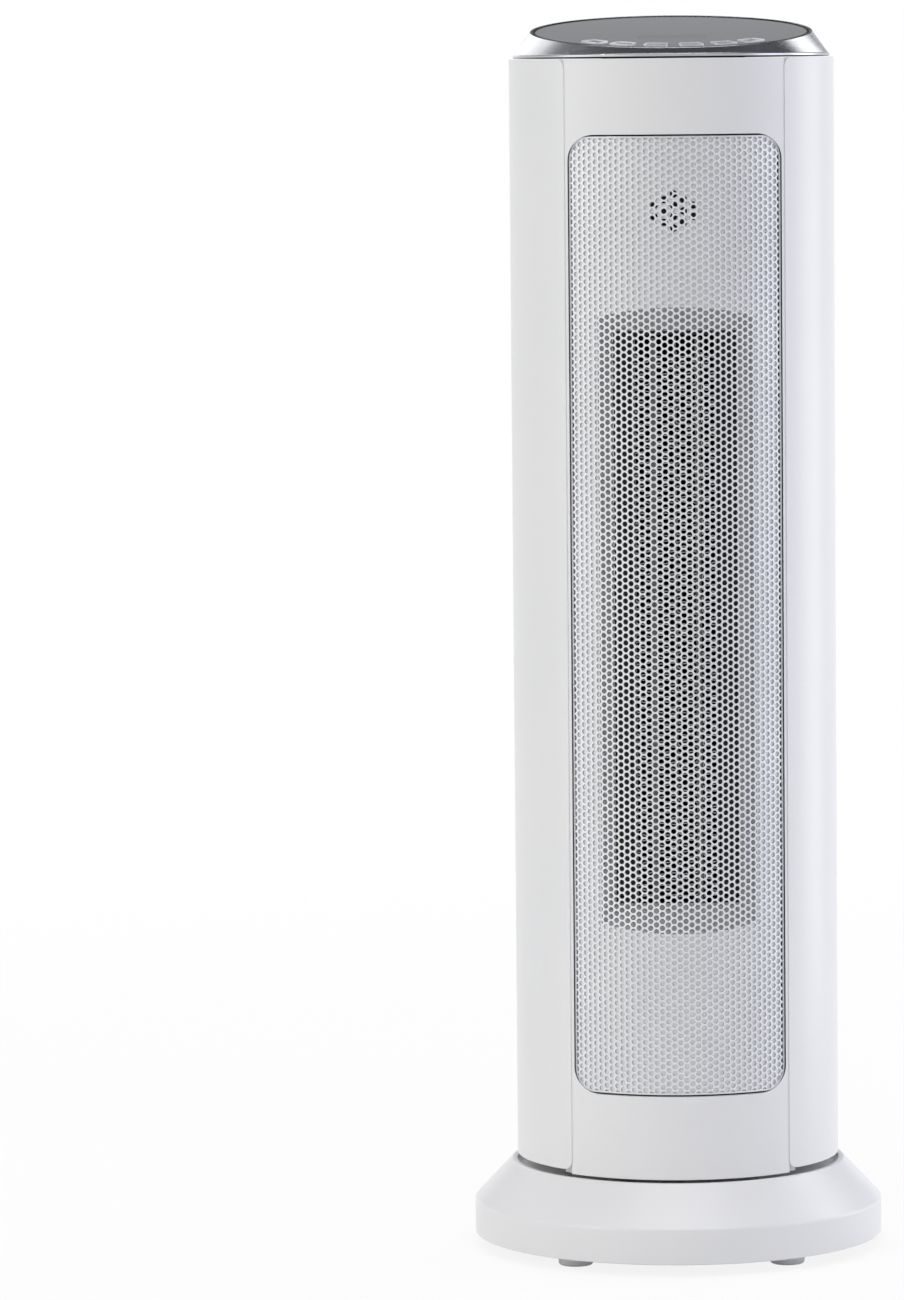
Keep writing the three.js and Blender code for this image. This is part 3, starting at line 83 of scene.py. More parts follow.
# Places taken from the CAD model's own nodes, in millimetres
CASING_LOW, CASING_HIGH = box_mm("casing")
PANEL_LOW, PANEL_HIGH = box_mm("front_panel")
GRILLE_LOW, GRILLE_HIGH = box_mm("front_grille")
COVER_LOW, COVER_HIGH = box_mm("rear_cover")
RING_LOW, RING_HIGH = box_mm("lid_ring")
SHELL_LOW, SHELL_HIGH = box_mm("base_shell")
BEZEL_LOW, BEZEL_HIGH = box_mm("switch_bezel")
BODY_RADIUS, PANEL_RADIUS, GRILLE_HALF = CASING_HIGH.x, -PANEL_LOW.y, GRILLE_HIGH.x
SCREW_HEIGHTS = heights("rear_screw_1", "rear_screw_3", "rear_screw_5", "rear_screw_7")
PLATE_SCREW_HEIGHTS = heights("plate_screw_1", "plate_screw_2")
# Tower: its wall, the half widths of its front, its rear cover and that cover's window, and its screws
WALL = 2.2
FRONT_HALF, COVER_HALF, WINDOW_HALF = 50, 60.7, 72.9
WINDOW_CORNER = 14
LEDGE_Y = COVER_LOW.y + WALL
SCREW_X, PLATE_SCREW_X, BORE_RADIUS = 65.6, -11.4, 1.9
GRIP_MIDDLE = 490.5
SLOT_TOP, SLOT_ROWS = 443.6, 40
# Front: the sensor holes, and the funnel's mouth and end as half width, low, high and y
SENSOR_HEIGHT, SENSOR_ASIDE = 483, -0.9
FUNNEL_MOUTH, FUNNEL_END = (32.6, 161.3, 432.4, -57), (28.5, 165.4, 428.1, -48)
GRILLE_CORNER = 11
# Base: its wall, where the upright wall ends, the rim round the tower, and the deck
BASE_WALL, BASE_WALL_TOP, RIM_RADIUS, DECK_TOP = 2.5, 21.5, 77.5, 37.5
# Lid: the middle and the slant of its plane
LID_MIDDLE, LID_TILT = 564.5, math.atan(16 / 130)
# Mains lead: its routes, as in the CAD source, and its coil, whose turns are counted in and out
RUN = [(0, 95.3, 12.5), (0, 104, 12.2), (1.5, 113, 10.8), (6.5, 123, 8.4), (15, 131.5, 5.9),
       (26, 138, 4.1), (38, 143.5, 3.3), (50, 149.5, 3.2), (61, 157.5, 3.2), (68.5, 168, 3.2),
       (71.8, 180, 3.2), (72.9, 194, 3.2), (73.2, 208.4, 3.2)]
LEAD = [(-11.4, 243.2, 9.9), (-16, 238.6, 9.7), (-25.5, 229, 7.1), (-34, 219.7, 4.5),
        (-41, 210, 3.9), (-46.3, 199.5, 5.7), (-49, 190, 8.3), (-49.9, 183, 9.6), (-50, 177, 9.9)]
CORD_RADIUS = 3.1
COIL_CENTRE, COIL_RADIUS, COIL_PITCH = (26, 215), 47.2, 6.75
COIL_LOW, COIL_LAYER, COIL_STEPS = 3.2, 6.7, 24
COIL_IN, COIL_CLIMB, COIL_OUT = 3, 0.5, 2.875
# A cutter reaches this far past what it cuts, or up to a plane behind the tower
OVER, WELL_OVER, BEHIND = 3, 6, 90
# Degrees between the points of a curved wall's plan
PLAN_STEP = 1.2
# The finest meshes keep their plain shading, as each of their flat faces is too small to show
FINE_MESH = 20000


def length(name, description, default_mm):
    """A length that a user may change, in metres."""
    return FloatProperty(name=name, description=description, default=default_mm * MM, min=0,
                         precision=5, unit="LENGTH", subtype="DISTANCE")


def angle(name, description, default_degrees):
    """An angle that a user may change."""
    return FloatProperty(name=name, description=description, default=default_degrees * DEGREE,
                         subtype="ANGLE")


def colour(name, description, hex_colour):
    """A colour that a user may change."""
    return FloatVectorProperty(name=name, description=description, default=linear(hex_colour),
                               min=0, max=1, size=3, subtype="COLOR")


class HeaterSizes(bpy.types.PropertyGroup):
    """Sizes of the heater's visible pieces."""

    edge_round: length("Edge rounding", "Rounding of the casing's moulded edges", 0.35)
    grille_hole: length("Grille hole", "Diameter of the holes punched in the grille", 2.46)
    grille_pitch: length("Grille pitch", "Distance between neighbouring holes", 3.1)
    grille_row: length("Grille row", "Height from one hole to the next above it", 3.18)
    fin_pitch: length("Fin pitch", "Distance between neighbouring walls of the fins", 2.55)
    slot_pitch: length("Slot pitch", "Height from one inlet slot to the next", 6.93)
    slot_height: length("Slot height", "Height of an inlet slot", 4.3)
    cord_diameter: length("Cord diameter", "Outer diameter of the mains lead", 6.2)
    round_steps: IntProperty(name="Round steps", description="Steps round a large round piece",
                             default=192, min=24)


class HeaterColours(bpy.types.PropertyGroup):
    """Colours of the heater's finishes."""

    shell: colour("Shell", "White of the moulded housing", "#eeeeef")
    sheet: colour("Sheet", "Coated steel of the grille", "#eeeff2")
    metal: colour("Metal", "Satin metal of the lid ring", "#b9babe")
    glossy_grey: colour("Glossy grey", "Control panel and keys", "#898b90")
    black: colour("Black", "Black plastic of the switch and the duct", "#0d0e10")
    red: colour("Red", "Rocker of the mains switch", "#c4100e")
    cord: colour("Cord", "White of the mains lead", "#e9eaeb")


class HeaterStage(bpy.types.PropertyGroup):
    """Camera and lights."""

    distance: length("Distance", "From the heater's axis to the camera, along the floor", 2923)
    height: length("Height", "Height of the camera over the floor", 536.5)
    azimuth: angle("Azimuth", "Turn of the camera round the heater", -1.321)
    pan: angle("Pan", "Turn of the camera away from the heater", 2.032)
    pitch: angle("Pitch", "Angle of the camera below level", 5.042)
    roll: angle("Roll", "Turn of the camera about its own axis", -0.543)
    focal_pixels: FloatProperty(name="Focal length", default=6302,
                                description="Focal length in pixels of the image")
    softbox: FloatProperty(name="Softboxes", default=1,
                           description="Share of the softboxes' usual brightness")
    ambient: FloatProperty(name="Ambient", default=0.35,
                           description="Strength of the light from all round")


# Tools of the bench: selecting, drawing and finishing a piece

def deselect():
    """Leaves edit mode with nothing selected."""
    if bpy.context.object and bpy.context.object.mode != "OBJECT":
        bpy.ops.object.mode_set(mode="OBJECT")
    bpy.ops.object.select_all(action="DESELECT")


def pick(*objects):
    """Selects these objects alone, the first one active."""
    deselect()
    for obj in objects:
        obj.select_set(True)
    bpy.context.view_layer.objects.active = objects[0]


@contextmanager
def editing(obj, select="SELECT"):
    """Edit mode on one object, with all or nothing selected."""
    pick(obj)
    bpy.ops.object.mode_set(mode="EDIT")
    bpy.ops.mesh.select_mode(type="VERT")
    bpy.ops.mesh.select_all(action=select)
    yield
    bpy.ops.object.mode_set(mode="OBJECT")


def choose(obj, kind, test):
    """In edit mode, selects the verts, edges or faces that pass a test, and nothing else."""
    bpy.ops.mesh.select_mode(type={"verts": "VERT", "edges": "EDGE", "faces": "FACE"}[kind])
    bpy.ops.mesh.select_all(action="DESELECT")
    mesh = bmesh.from_edit_mesh(obj.data)
    for item in getattr(mesh, kind):
        if test(item):
            item.select_set(True)
    mesh.select_flush_mode()
    bmesh.update_edit_mesh(obj.data)


def turn(value, axis):
    """In edit mode, turns what is selected about the origin, clockwise as seen down the axis."""
    bpy.ops.transform.rotate(value=value, orient_axis=axis, center_override=(0, 0, 0))


def extruded(by):
    """In edit mode, draws what is selected out into a wall or a solid."""
    bpy.ops.mesh.extrude_region_move(TRANSFORM_OT_translate={"value": by})


def added(kind, name, **options):
    """A mesh primitive with a name, at its place."""
    deselect()
    getattr(bpy.ops.mesh, f"primitive_{kind}_add")(**options)
    obj = bpy.context.object
    obj.name = name
    bpy.ops.object.transform_apply()
    return obj


def drawn(name, points, closed=True):
    """A line drawn from point to point by extruding one corner, closed into a face where asked."""
    points = [Vector(p) for p in points]
    obj = added("plane", name, size=1)
    with editing(obj):
        bpy.ops.mesh.merge(type="CENTER")
        bpy.ops.transform.translate(value=points[0])
        for here, there in zip(points, points[1:]):
            bpy.ops.mesh.extrude_vertices_move(TRANSFORM_OT_translate={"value": there - here})
        if closed:
            count = len(points)
            choose(obj, "verts", lambda v: v.index in (0, count - 1))
            bpy.ops.mesh.edge_face_add()
            bpy.ops.mesh.select_all(action="SELECT")
            bpy.ops.mesh.edge_face_add()
    return obj


def tidied(obj, merge=0.0005):
    """Merges doubled points and turns all faces outwards."""
    with editing(obj):
        bpy.ops.mesh.remove_doubles(threshold=merge)
        bpy.ops.mesh.normals_make_consistent(inside=False)
    return obj


def spun(name, profile, steps):
    """A profile of [radius, height] points spun about the Z axis."""
    obj = drawn(name, [(r, 0, z) for r, z in profile], closed=False)
    with editing(obj):
        bpy.ops.mesh.spin(steps=steps, angle=TURN, center=(0, 0, 0), axis=(0, 0, 1))
    return tidied(obj)


def driven(name, outline, near, far):
    """An outline of [x, z] points driven along Y."""
    obj = drawn(name, [(x, near, z) for x, z in outline])
    with editing(obj):
        extruded((0, far - near, 0))
    return tidied(obj)


def raised(name, outline, low, high):
    """An outline of [x, y] points raised along Z."""
    obj = drawn(name, [(x, y, low) for x, y in outline])
    with editing(obj):
        extruded((0, 0, high - low))
    return tidied(obj)


def block(name, x0, x1, y0, y1, z0, z1):
    """A block between two corners, to be shaped further or to cut with."""
    return added("cube", name, size=1, location=((x0 + x1) / 2, (y0 + y1) / 2, (z0 + z1) / 2),
                 scale=(x1 - x0, y1 - y0, z1 - z0))


def rod(name, radius, low, high, sides=48, place=(0, 0), along="Z"):
    """A round bar along Z, or along Y with its place given as [x, z]."""
    middle = (low + high) / 2
    at, turned = (*place, middle), (0, 0, 0)
    if along == "Y":
        at, turned = (place[0], middle, place[1]), (TURN / 4, 0, 0)
    return added("cylinder", name, vertices=sides, radius=radius, depth=high - low, location=at,
                 rotation=turned)


def joined(name, objects):
    """Several objects made into one."""
    pick(*objects)
    if len(objects) > 1:
        bpy.ops.object.join()
    objects[0].name = name
    return objects[0]


def applied(obj, kind, **settings):
    """Adds a modifier with its settings and applies it."""
    pick(obj)
    bpy.ops.object.modifier_add(type=kind)
    modifier = obj.modifiers[-1]
    for key, value in settings.items():
        setattr(modifier, key, value)
    bpy.ops.object.modifier_apply(modifier=modifier.name)
    return obj


def combined(obj, how, *others):
    """Cuts, joins or intersects with other objects, which go."""
    for other in others:
        applied(obj, "BOOLEAN", operation=how, solver="EXACT", object=other)
        bpy.data.objects.remove(other)
    return obj


def cut(obj, *cutters):
    """Cuts the cutters out."""
    return combined(obj, "DIFFERENCE", *cutters)


def bevelled(obj, width, segments=2, angle=30):
    """Rounds every edge sharper than an angle."""
    return applied(obj, "BEVEL", width=width, segments=segments, limit_method="ANGLE",
                   angle_limit=angle * DEGREE, use_clamp_overlap=True, miter_outer="MITER_ARC")


def copied(obj, name, place=(0, 0, 0)):
    """A copy with a mesh of its own, moved to its place."""
    pick(obj)
    bpy.ops.object.duplicate(linked=False)
    copy = bpy.context.object
    copy.name = name
    return placed(copy, place)


def placed(obj, at, turned=(0, 0, 0)):
    """Turns a piece about the origin and then moves it."""
    pick(obj)
    obj.rotation_euler = turned
    obj.location = at
    bpy.ops.object.transform_apply()
    return obj


def repeated(obj, count, step):
    """A row of copies of a piece in one, each moved on by the same step."""
    return applied(obj, "ARRAY", count=count, use_relative_offset=False, use_constant_offset=True,
                   constant_offset_displace=step)


def arc(radius, start, end, step=1.5):
    """Points on a circle round the axis, between two turns in degrees from the front towards +X."""
    count = max(1, math.ceil(abs(end - start) / step))
    turns = [(start + (end - start) * i / count) * DEGREE for i in range(count + 1)]
    return [(radius * math.sin(t), -radius * math.cos(t)) for t in turns]


def rounded(corners, steps=6):
    """A closed outline whose corners, given as (x, y, radius), are rounded."""
    points = []
    for i, corner in enumerate(corners):
        at, radius = Vector(corner[:2]), corner[2] if len(corner) > 2 else 0
        if not radius:
            points.append(tuple(at))
            continue
        back = (Vector(corners[i - 1][:2]) - at).normalized()
        ahead = (Vector(corners[(i + 1) % len(corners)][:2]) - at).normalized()
        half_angle = back.angle(ahead) / 2
        centre = at + (back + ahead).normalized() * radius / math.sin(half_angle)
        start = at + back * radius / math.tan(half_angle) - centre
        end = at + ahead * radius / math.tan(half_angle) - centre
        sweep = start.angle_signed(end)
        for k in range(steps + 1):
            turned_by = Matrix.Rotation(-sweep * k / steps, 2)
            points.append(tuple(centre + turned_by @ start))
    return points


def rectangle(left, right, low, high, radius=0, steps=6):
    """The outline of a rectangle with all corners rounded alike."""
    return rounded([(left, low, radius), (right, low, radius), (right, high, radius),
                    (left, high, radius)], steps)


def finished(obj, name, body, finish, replaces=(), smooth=35):
    """Brings a piece to metres, shades it, and gives it its finish and its body."""
    pick(obj)
    obj.name = name
    obj.data.name = name
    obj.scale = (MM, MM, MM)
    bpy.ops.object.transform_apply()
    bpy.ops.object.shade_smooth_by_angle(angle=smooth * DEGREE)
    if len(obj.data.polygons) < FINE_MESH:
        applied(obj, "WEIGHTED_NORMAL", keep_sharp=True)
    obj.data.materials.clear()
    obj.data.materials.append(FINISHES[finish])
    if replaces:
        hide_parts(*replaces)
    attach(obj, body)
    return obj


# Finishes

FINISHES = {}


def bare_tree(owner):
    """The emptied node tree of a material or a world."""
    owner.use_nodes = True
    owner.node_tree.nodes.clear()
    return owner.node_tree


def node(tree, kind, inputs=(), **settings):
    """Adds a node with its settings; an input is given a value, or linked where it is a socket."""
    made = tree.nodes.new(kind)
    for key, value in settings.items():
        setattr(made, key, value)
    for key, value in dict(inputs).items():
        if isinstance(value, bpy.types.NodeSocket):
            tree.links.new(value, made.inputs[key])
        else:
            made.inputs[key].default_value = value
    return made


def finish(key, name, tint, second, patch_mm, roughness, spread, grain_mm, depth_mm,
           stretch=(1, 1, 1), **sockets):
    """A surface that drifts between two tints, with a fine relief and a roughness that varies."""
    made = FINISHES[key] = bpy.data.materials.new(name)
    tree = bare_tree(made)
    tint, second = (linear(c) if isinstance(c, str) else c[:3] for c in (tint, second))
    place = node(tree, "ShaderNodeTexCoord").outputs["Object"]
    drift = node(tree, "ShaderNodeTexNoise", {
        "Vector": place, "Scale": 1 / (patch_mm * MM), "Detail": 3.0})
    tints = node(tree, "ShaderNodeMix", {
        "Factor": drift.outputs["Fac"], 6: (*tint, 1), 7: (*second, 1)}, data_type="RGBA")
    mapping = node(tree, "ShaderNodeMapping", {"Vector": place, "Scale": stretch})
    grain = node(tree, "ShaderNodeTexNoise", {
        "Vector": mapping.outputs[0], "Scale": 1 / (grain_mm * MM), "Detail": 2.0, "Roughness": 0.6})
    rough = node(tree, "ShaderNodeMapRange", {
        "Value": grain.outputs["Fac"], "To Min": roughness - spread, "To Max": roughness + spread})
    relief = node(tree, "ShaderNodeBump", {
        "Height": grain.outputs["Fac"], "Distance": depth_mm * MM, "Strength": 1.0})
    # A keyword is a socket's name in small letters, such as coat_weight
    named = {"IOR" if word == "ior" else word.replace("_", " ").title(): value
             for word, value in sockets.items()}
    shader = node(tree, "ShaderNodeBsdfPrincipled", {
        "Base Color": tints.outputs[2], "Roughness": rough.outputs[0], "Normal": relief.outputs[0],
        **named})
    node(tree, "ShaderNodeOutputMaterial", {"Surface": shader.outputs[0]})


def make_finishes():
    """All the heater's finishes, by what they are made of."""
    c = bpy.context.scene.heater_colours
    # Injection-moulded ABS from a polished tool: a soft gloss, with the faintest orange peel
    finish("abs_white", "abs_white_polished_tool", c.shell, "#e6e7e9",
           90, 0.3, 0.03, 1.4, 0.004, ior=1.53)
    # The same ABS from a spark-eroded tool, for faces that nobody sees much: fine matt grain
    finish("abs_inner", "abs_white_grained_tool", "#ecedee", "#e0e1e3",
           60, 0.5, 0.08, 0.5, 0.02, ior=1.53)
    # Punched steel sheet with a baked silver-white coat: half gloss, a little metal in the glint
    finish("coated_sheet", "steel_sheet_baked_coat", c.sheet, "#dcdee2",
           40, 0.36, 0.06, 0.35, 0.006, metallic=0.25)
    # Spun aluminium ring with a satin anodised coat, brushed round: long soft glints along the ring
    finish("satin_ring", "aluminium_satin_anodised", c.metal, "#aeb0b5",
           25, 0.26, 0.03, 0.5, 0.0002, (0.08, 0.08, 1), metallic=1.0)
    # Tinted acrylic sheet with hard gloss, as the touch panel's cover
    finish("acrylic_grey", "acrylic_grey_gloss", c.glossy_grey, "#84868b",
           45, 0.12, 0.02, 0.9, 0.0015, ior=1.49, coat_weight=0.5, coat_roughness=0.05)
    # Vacuum-metallised rim of a key: thin, pale and smooth
    finish("silver_rim", "abs_vacuum_metallised", "#eceef0", "#dfe1e4",
           6, 0.3, 0.04, 0.6, 0.001, metallic=0.5)
    # Smoked acrylic over the display: the same gloss, a shade darker, so that it hides until it lights
    finish("acrylic_smoked", "acrylic_smoked_window", "#808287", "#7a7c81",
           30, 0.08, 0.01, 0.9, 0.001, ior=1.49, coat_weight=0.6, coat_roughness=0.03)
    # Glass-filled nylon, moulded black: matt, with a fine dry grain
    finish("nylon_black", "nylon_glass_filled_black", c.black, "#151619",
           12, 0.45, 0.08, 0.3, 0.02, ior=1.53)
    # Clear red polycarbonate, moulded: hard gloss and some glow where the light enters
    finish("polycarbonate_red", "polycarbonate_red_clear", c.red, "#9a0908",
           6, 0.12, 0.03, 1.0, 0.002, ior=1.58, coat_weight=0.6, coat_roughness=0.05,
           subsurface_weight=0.2, subsurface_scale=0.002)
    # Pad-printed ink: flat white with a slightly dry face
    finish("ink_white", "pad_print_white", "#f4f0ee", "#e8e2e0", 3, 0.5, 0.05, 0.4, 0.004)
    # Black-zinc plated steel screws, cold-headed: dull blue-grey glints
    finish("zinc_dark", "steel_black_zinc", "#6a7077", "#4b5056",
           3, 0.35, 0.1, 0.35, 0.01, metallic=1.0)
    # Bright zinc-plated steel: pale, with cloudy spangle
    finish("zinc_bright", "steel_bright_zinc", "#b9bcc0", "#a3a6ab",
           8, 0.32, 0.08, 0.6, 0.006, metallic=1.0)
    # Nickel-plated brass of the plug pins: warm pale metal, drawn lengthwise
    finish("nickel_pin", "brass_nickel_plated", "#c9c7c1", "#b8b5ad",
           6, 0.22, 0.05, 0.3, 0.003, (1, 0.1, 1), metallic=1.0)
    # Rolled aluminium strip of the fins: pale, fine rolling lines
    finish("aluminium_strip", "aluminium_rolled_strip", "#c8c9cb", "#babbbe",
           10, 0.3, 0.06, 0.4, 0.006, (0.1, 1, 1), metallic=0.8)
    # Extruded aluminium tube round the ceramic stones, in a heat-resistant wrap: dull warm grey
    finish("aluminium_tube", "aluminium_tube_wrapped", "#84847f", "#74746f",
           6, 0.5, 0.08, 0.6, 0.01, ior=1.6)
    # Polyacetal, moulded: waxy off-white
    finish("acetal", "acetal_natural", "#e4e1d8", "#d9d5ca",
           20, 0.38, 0.05, 0.6, 0.006, ior=1.48, subsurface_weight=0.15, subsurface_scale=0.002)
    # Soft pale thermoplastic rubber of the feet: matt, dry to the eye
    finish("rubber_pale", "rubber_pale_matt", "#f4f4f5", "#ececee",
           10, 0.7, 0.08, 0.5, 0.02, ior=1.52)
    # Soft PVC sheath, extruded: satin, with faint draw lines and a waxy depth
    finish("pvc_white", "pvc_sheath_white", c.cord, "#dfe0e2",
           30, 0.36, 0.05, 0.8, 0.01, ior=1.53, subsurface_weight=0.1, subsurface_scale=0.002)
    # Glass-epoxy circuit board under green solder mask: gloss, with the weave just showing
    finish("solder_mask", "glass_epoxy_green_mask", "#2a5b3b", "#1f4a2f",
           3, 0.3, 0.08, 0.7, 0.01, ior=1.55)
    # Black strip that fills a gap, as painted shade for the gap's dark line: dull and open-celled
    finish("foam_black", "polyurethane_foam_black", "#121314", "#1c1d1f", 3, 0.9, 0.05, 0.4, 0.05)
    # Black hook-and-loop tie of the coil: matt pile
    finish("tie_black", "hook_and_loop_black", "#1a1b1d", "#27282b",
           2, 0.85, 0.08, 0.3, 0.12, sheen_weight=0.3)


# The stage

FLOOR_RADIUS, FLOOR_PAINT, FLOOR_WHITE = 2, 0.86, 0.86
# The floor fades out between these distances from the middle, in metres
FADE_FROM, FADE_TO = 0.25, 1.6
# Glossy faces see a white wall that ends between these heights of the sky, under a dim ceiling
WALL_END, CEILING_START, CEILING = 0.08, 0.305, 0.02
LAMP_AIM = Vector((0, 0, 0.3))
# A softbox's distance, height, width and tallness, in metres
SIDE, RIM, WIDE_RIM = (1.6, 0.6, 0.8, 1.8), (1.6, 1.25, 0.25, 0.8), (1.6, 1.15, 0.5, 1.0)
OVERHEAD, CROWN, KEY = (0.9, 2.2, 1.6, 1.0), (0.45, 2.4, 1.6, 0.9), (1.6, 1.3, 0.3, 0.3)
# Each softbox's azimuth, place and size, and radiance: neutral at the left, cooler at the right
SOFTBOXES = {
    "left": (-75, SIDE, (0.90, 0.91, 0.92)),
    "front_left": (-45, SIDE, (0.40, 0.39, 0.34)),
    "key": (-52, KEY, (16.5, 16.4, 15.3)),
    "right": (75, SIDE, (0.96, 1.00, 1.25)),
    "rear_right": (110, SIDE, (1.95, 1.93, 1.98)),
    "rim_left": (-157, WIDE_RIM, (2.4, 2.4, 2.4)),
    "rim_right": (148, RIM, (3.8, 3.8, 3.9)),
    "top_front": (0, OVERHEAD, (2.63, 2.60, 2.67)),
    "top_rear": (180, CROWN, (2.75, 2.72, 3.00)),
}


def outwards(turn, away, height=0):
    """A place at a distance from the axis, turned from the front towards +X."""
    return Vector((away * math.sin(turn), -away * math.cos(turn), height))


class HEATER_OT_stage(bpy.types.Operator):
    """Adds the camera, the pale floor, the softboxes and the light from all round"""

    bl_idname = "heater.stage"
    bl_label = "Stage"

    def execute(self, context):
        s = context.scene.heater_stage
        bpy.ops.object.camera_add(location=outwards(s.azimuth, s.distance, s.height))
        camera = context.object
        camera.rotation_mode = "QUATERNION"
        camera.rotation_quaternion = (
            Matrix.Rotation(s.azimuth + s.pan, 3, "Z") @ Matrix.Rotation(TURN / 4 - s.pitch, 3, "X")
            @ Matrix.Rotation(s.roll, 3, "Z")).to_quaternion()
        camera.data.sensor_width = SENSOR
        camera.data.lens = s.focal_pixels * SENSOR / IMAGE_HEIGHT
        context.scene.camera = camera
        self.add_floor()
        self.add_lights(s.softbox)
        self.add_world(s.ambient)
        context.scene.view_settings.view_transform = "Standard"
        return {"FINISHED"}

    def add_floor(self):
        """A pale floor that keeps the heater's shadow and fades out into the backdrop."""
        floor = added("circle", "floor", vertices=96, radius=FLOOR_RADIUS, fill_type="NGON",
                      location=(0, 0, 0))
        made = bpy.data.materials.new("painted_floor_pale")
        tree = bare_tree(made)
        place = node(tree, "ShaderNodeTexCoord").outputs["Object"]
        away = node(tree, "ShaderNodeVectorMath", {0: place}, operation="LENGTH")
        fade = node(tree, "ShaderNodeMapRange", {
            "Value": away.outputs["Value"], "From Min": FADE_FROM, "From Max": FADE_TO},
            interpolation_type="SMOOTHSTEP")
        path = node(tree, "ShaderNodeLightPath").outputs
        seen = node(tree, "ShaderNodeMath", {0: path["Is Camera Ray"], 1: path["Is Glossy Ray"]},
                    operation="MAXIMUM")
        share = node(tree, "ShaderNodeMath", {0: seen.outputs[0], 1: FLOOR_WHITE},
                     operation="MULTIPLY")
        paint = node(tree, "ShaderNodeBsdfDiffuse", {"Color": (*[FLOOR_PAINT] * 3, 1)})
        white = node(tree, "ShaderNodeEmission", {"Strength": 1.0})
        pale = node(tree, "ShaderNodeMixShader", {
            0: share.outputs[0], 1: paint.outputs[0], 2: white.outputs[0]})
        clear = node(tree, "ShaderNodeBsdfTransparent")
        both = node(tree, "ShaderNodeMixShader", {
            0: fade.outputs[0], 1: pale.outputs[0], 2: clear.outputs[0]})
        node(tree, "ShaderNodeOutputMaterial", {"Surface": both.outputs[0]})
        floor.data.materials.append(made)

    def add_lights(self, share):
        """The softboxes round the heater and overhead."""
        for name, (azimuth, (away, height, width, tall), radiance) in SOFTBOXES.items():
            place = outwards(azimuth * DEGREE, away, height)
            bpy.ops.object.light_add(type="AREA", location=place)
            lamp = bpy.context.object
            lamp.name = f"softbox_{name}"
            lamp.data.shape = "RECTANGLE"
            lamp.data.size, lamp.data.size_y = width, tall
            strongest = max(radiance)
            lamp.data.color = [part / strongest for part in radiance]
            lamp.data.energy = share * strongest * math.pi * width * tall
            lamp.rotation_mode = "QUATERNION"
            lamp.rotation_quaternion = (LAMP_AIM - place).to_track_quat("-Z", "Y")

    def add_world(self, ambient):
        """Even light from all round; the camera sees white, and glossy faces the wall and ceiling."""
        world = bpy.data.worlds.new("studio")
        bpy.context.scene.world = world
        tree = bare_tree(world)
        path = node(tree, "ShaderNodeLightPath").outputs
        direct = node(tree, "ShaderNodeMath", {
            0: path["Is Camera Ray"], 1: path["Is Transmission Ray"]}, operation="MAXIMUM")
        through = node(tree, "ShaderNodeMath", {0: direct.outputs[0], 1: path["Is Glossy Ray"]},
                       operation="MAXIMUM")
        light = node(tree, "ShaderNodeBackground", {"Color": (1, 1, 1, 1), "Strength": ambient})
        place = node(tree, "ShaderNodeTexCoord").outputs["Generated"]
        upwards = node(tree, "ShaderNodeSeparateXYZ", {0: place})
        wall = node(tree, "ShaderNodeMapRange", {
            "Value": upwards.outputs[2], "From Min": WALL_END, "From Max": CEILING_START,
            "To Min": 1.0, "To Max": CEILING}, interpolation_type="SMOOTHSTEP")
        shown = node(tree, "ShaderNodeMath", {0: direct.outputs[0], 1: wall.outputs[0]},
                     operation="MAXIMUM")
        white = node(tree, "ShaderNodeBackground", {
            "Color": (1, 1, 1, 1), "Strength": shown.outputs[0]})
        mixed = node(tree, "ShaderNodeMixShader", {
            0: through.outputs[0], 1: light.outputs[0], 2: white.outputs[0]})
        node(tree, "ShaderNodeOutputWorld", {"Surface": mixed.outputs[0]})


# The heater's pieces

def coil_points():
    """The coil's centre line: it spirals in, climbs a layer as it reverses, and spirals out."""
    total = COIL_IN + COIL_CLIMB + COIL_OUT
    count = round(total * COIL_STEPS)
    middle = COIL_IN + COIL_CLIMB / 2
    points = []
    for i in range(count + 1):
        turns = total * i / count
        radius = COIL_RADIUS - COIL_PITCH * (middle - abs(turns - middle))
        climbed = min(max((turns - COIL_IN) / COIL_CLIMB, 0), 1)
        points.append(Vector((COIL_CENTRE[0] + radius * math.cos(turns * TURN),
                              COIL_CENTRE[1] + radius * math.sin(turns * TURN),
                              COIL_LOW + COIL_LAYER * climbed)))
    return points


def smooth_path(points, per_span=6):
    """Points along the centripetal Catmull-Rom curve that the CAD source draws through its own."""
    pts = [Vector(p) for p in points]
    pts = [2 * pts[0] - pts[1], *pts, 2 * pts[-1] - pts[-2]]
    out = []
    for p0, p1, p2, p3 in zip(pts, pts[1:], pts[2:], pts[3:]):
        d1, d2, d3 = ((b - a).length ** 0.5 for a, b in ((p0, p1), (p1, p2), (p2, p3)))
        m1 = d2 * ((p1 - p0) / d1 - (p2 - p0) / (d1 + d2) + (p2 - p1) / d2)
        m2 = d2 * ((p2 - p1) / d2 - (p3 - p1) / (d2 + d3) + (p3 - p2) / d3)
        for k in range(per_span):
            t = k / per_span
            out.append((2 * t**3 - 3 * t**2 + 1) * p1 + (t**3 - 2 * t**2 + t) * m1
                       + (3 * t**2 - 2 * t**3) * p2 + (t**3 - t**2) * m2)
    return [*out, pts[-2]]


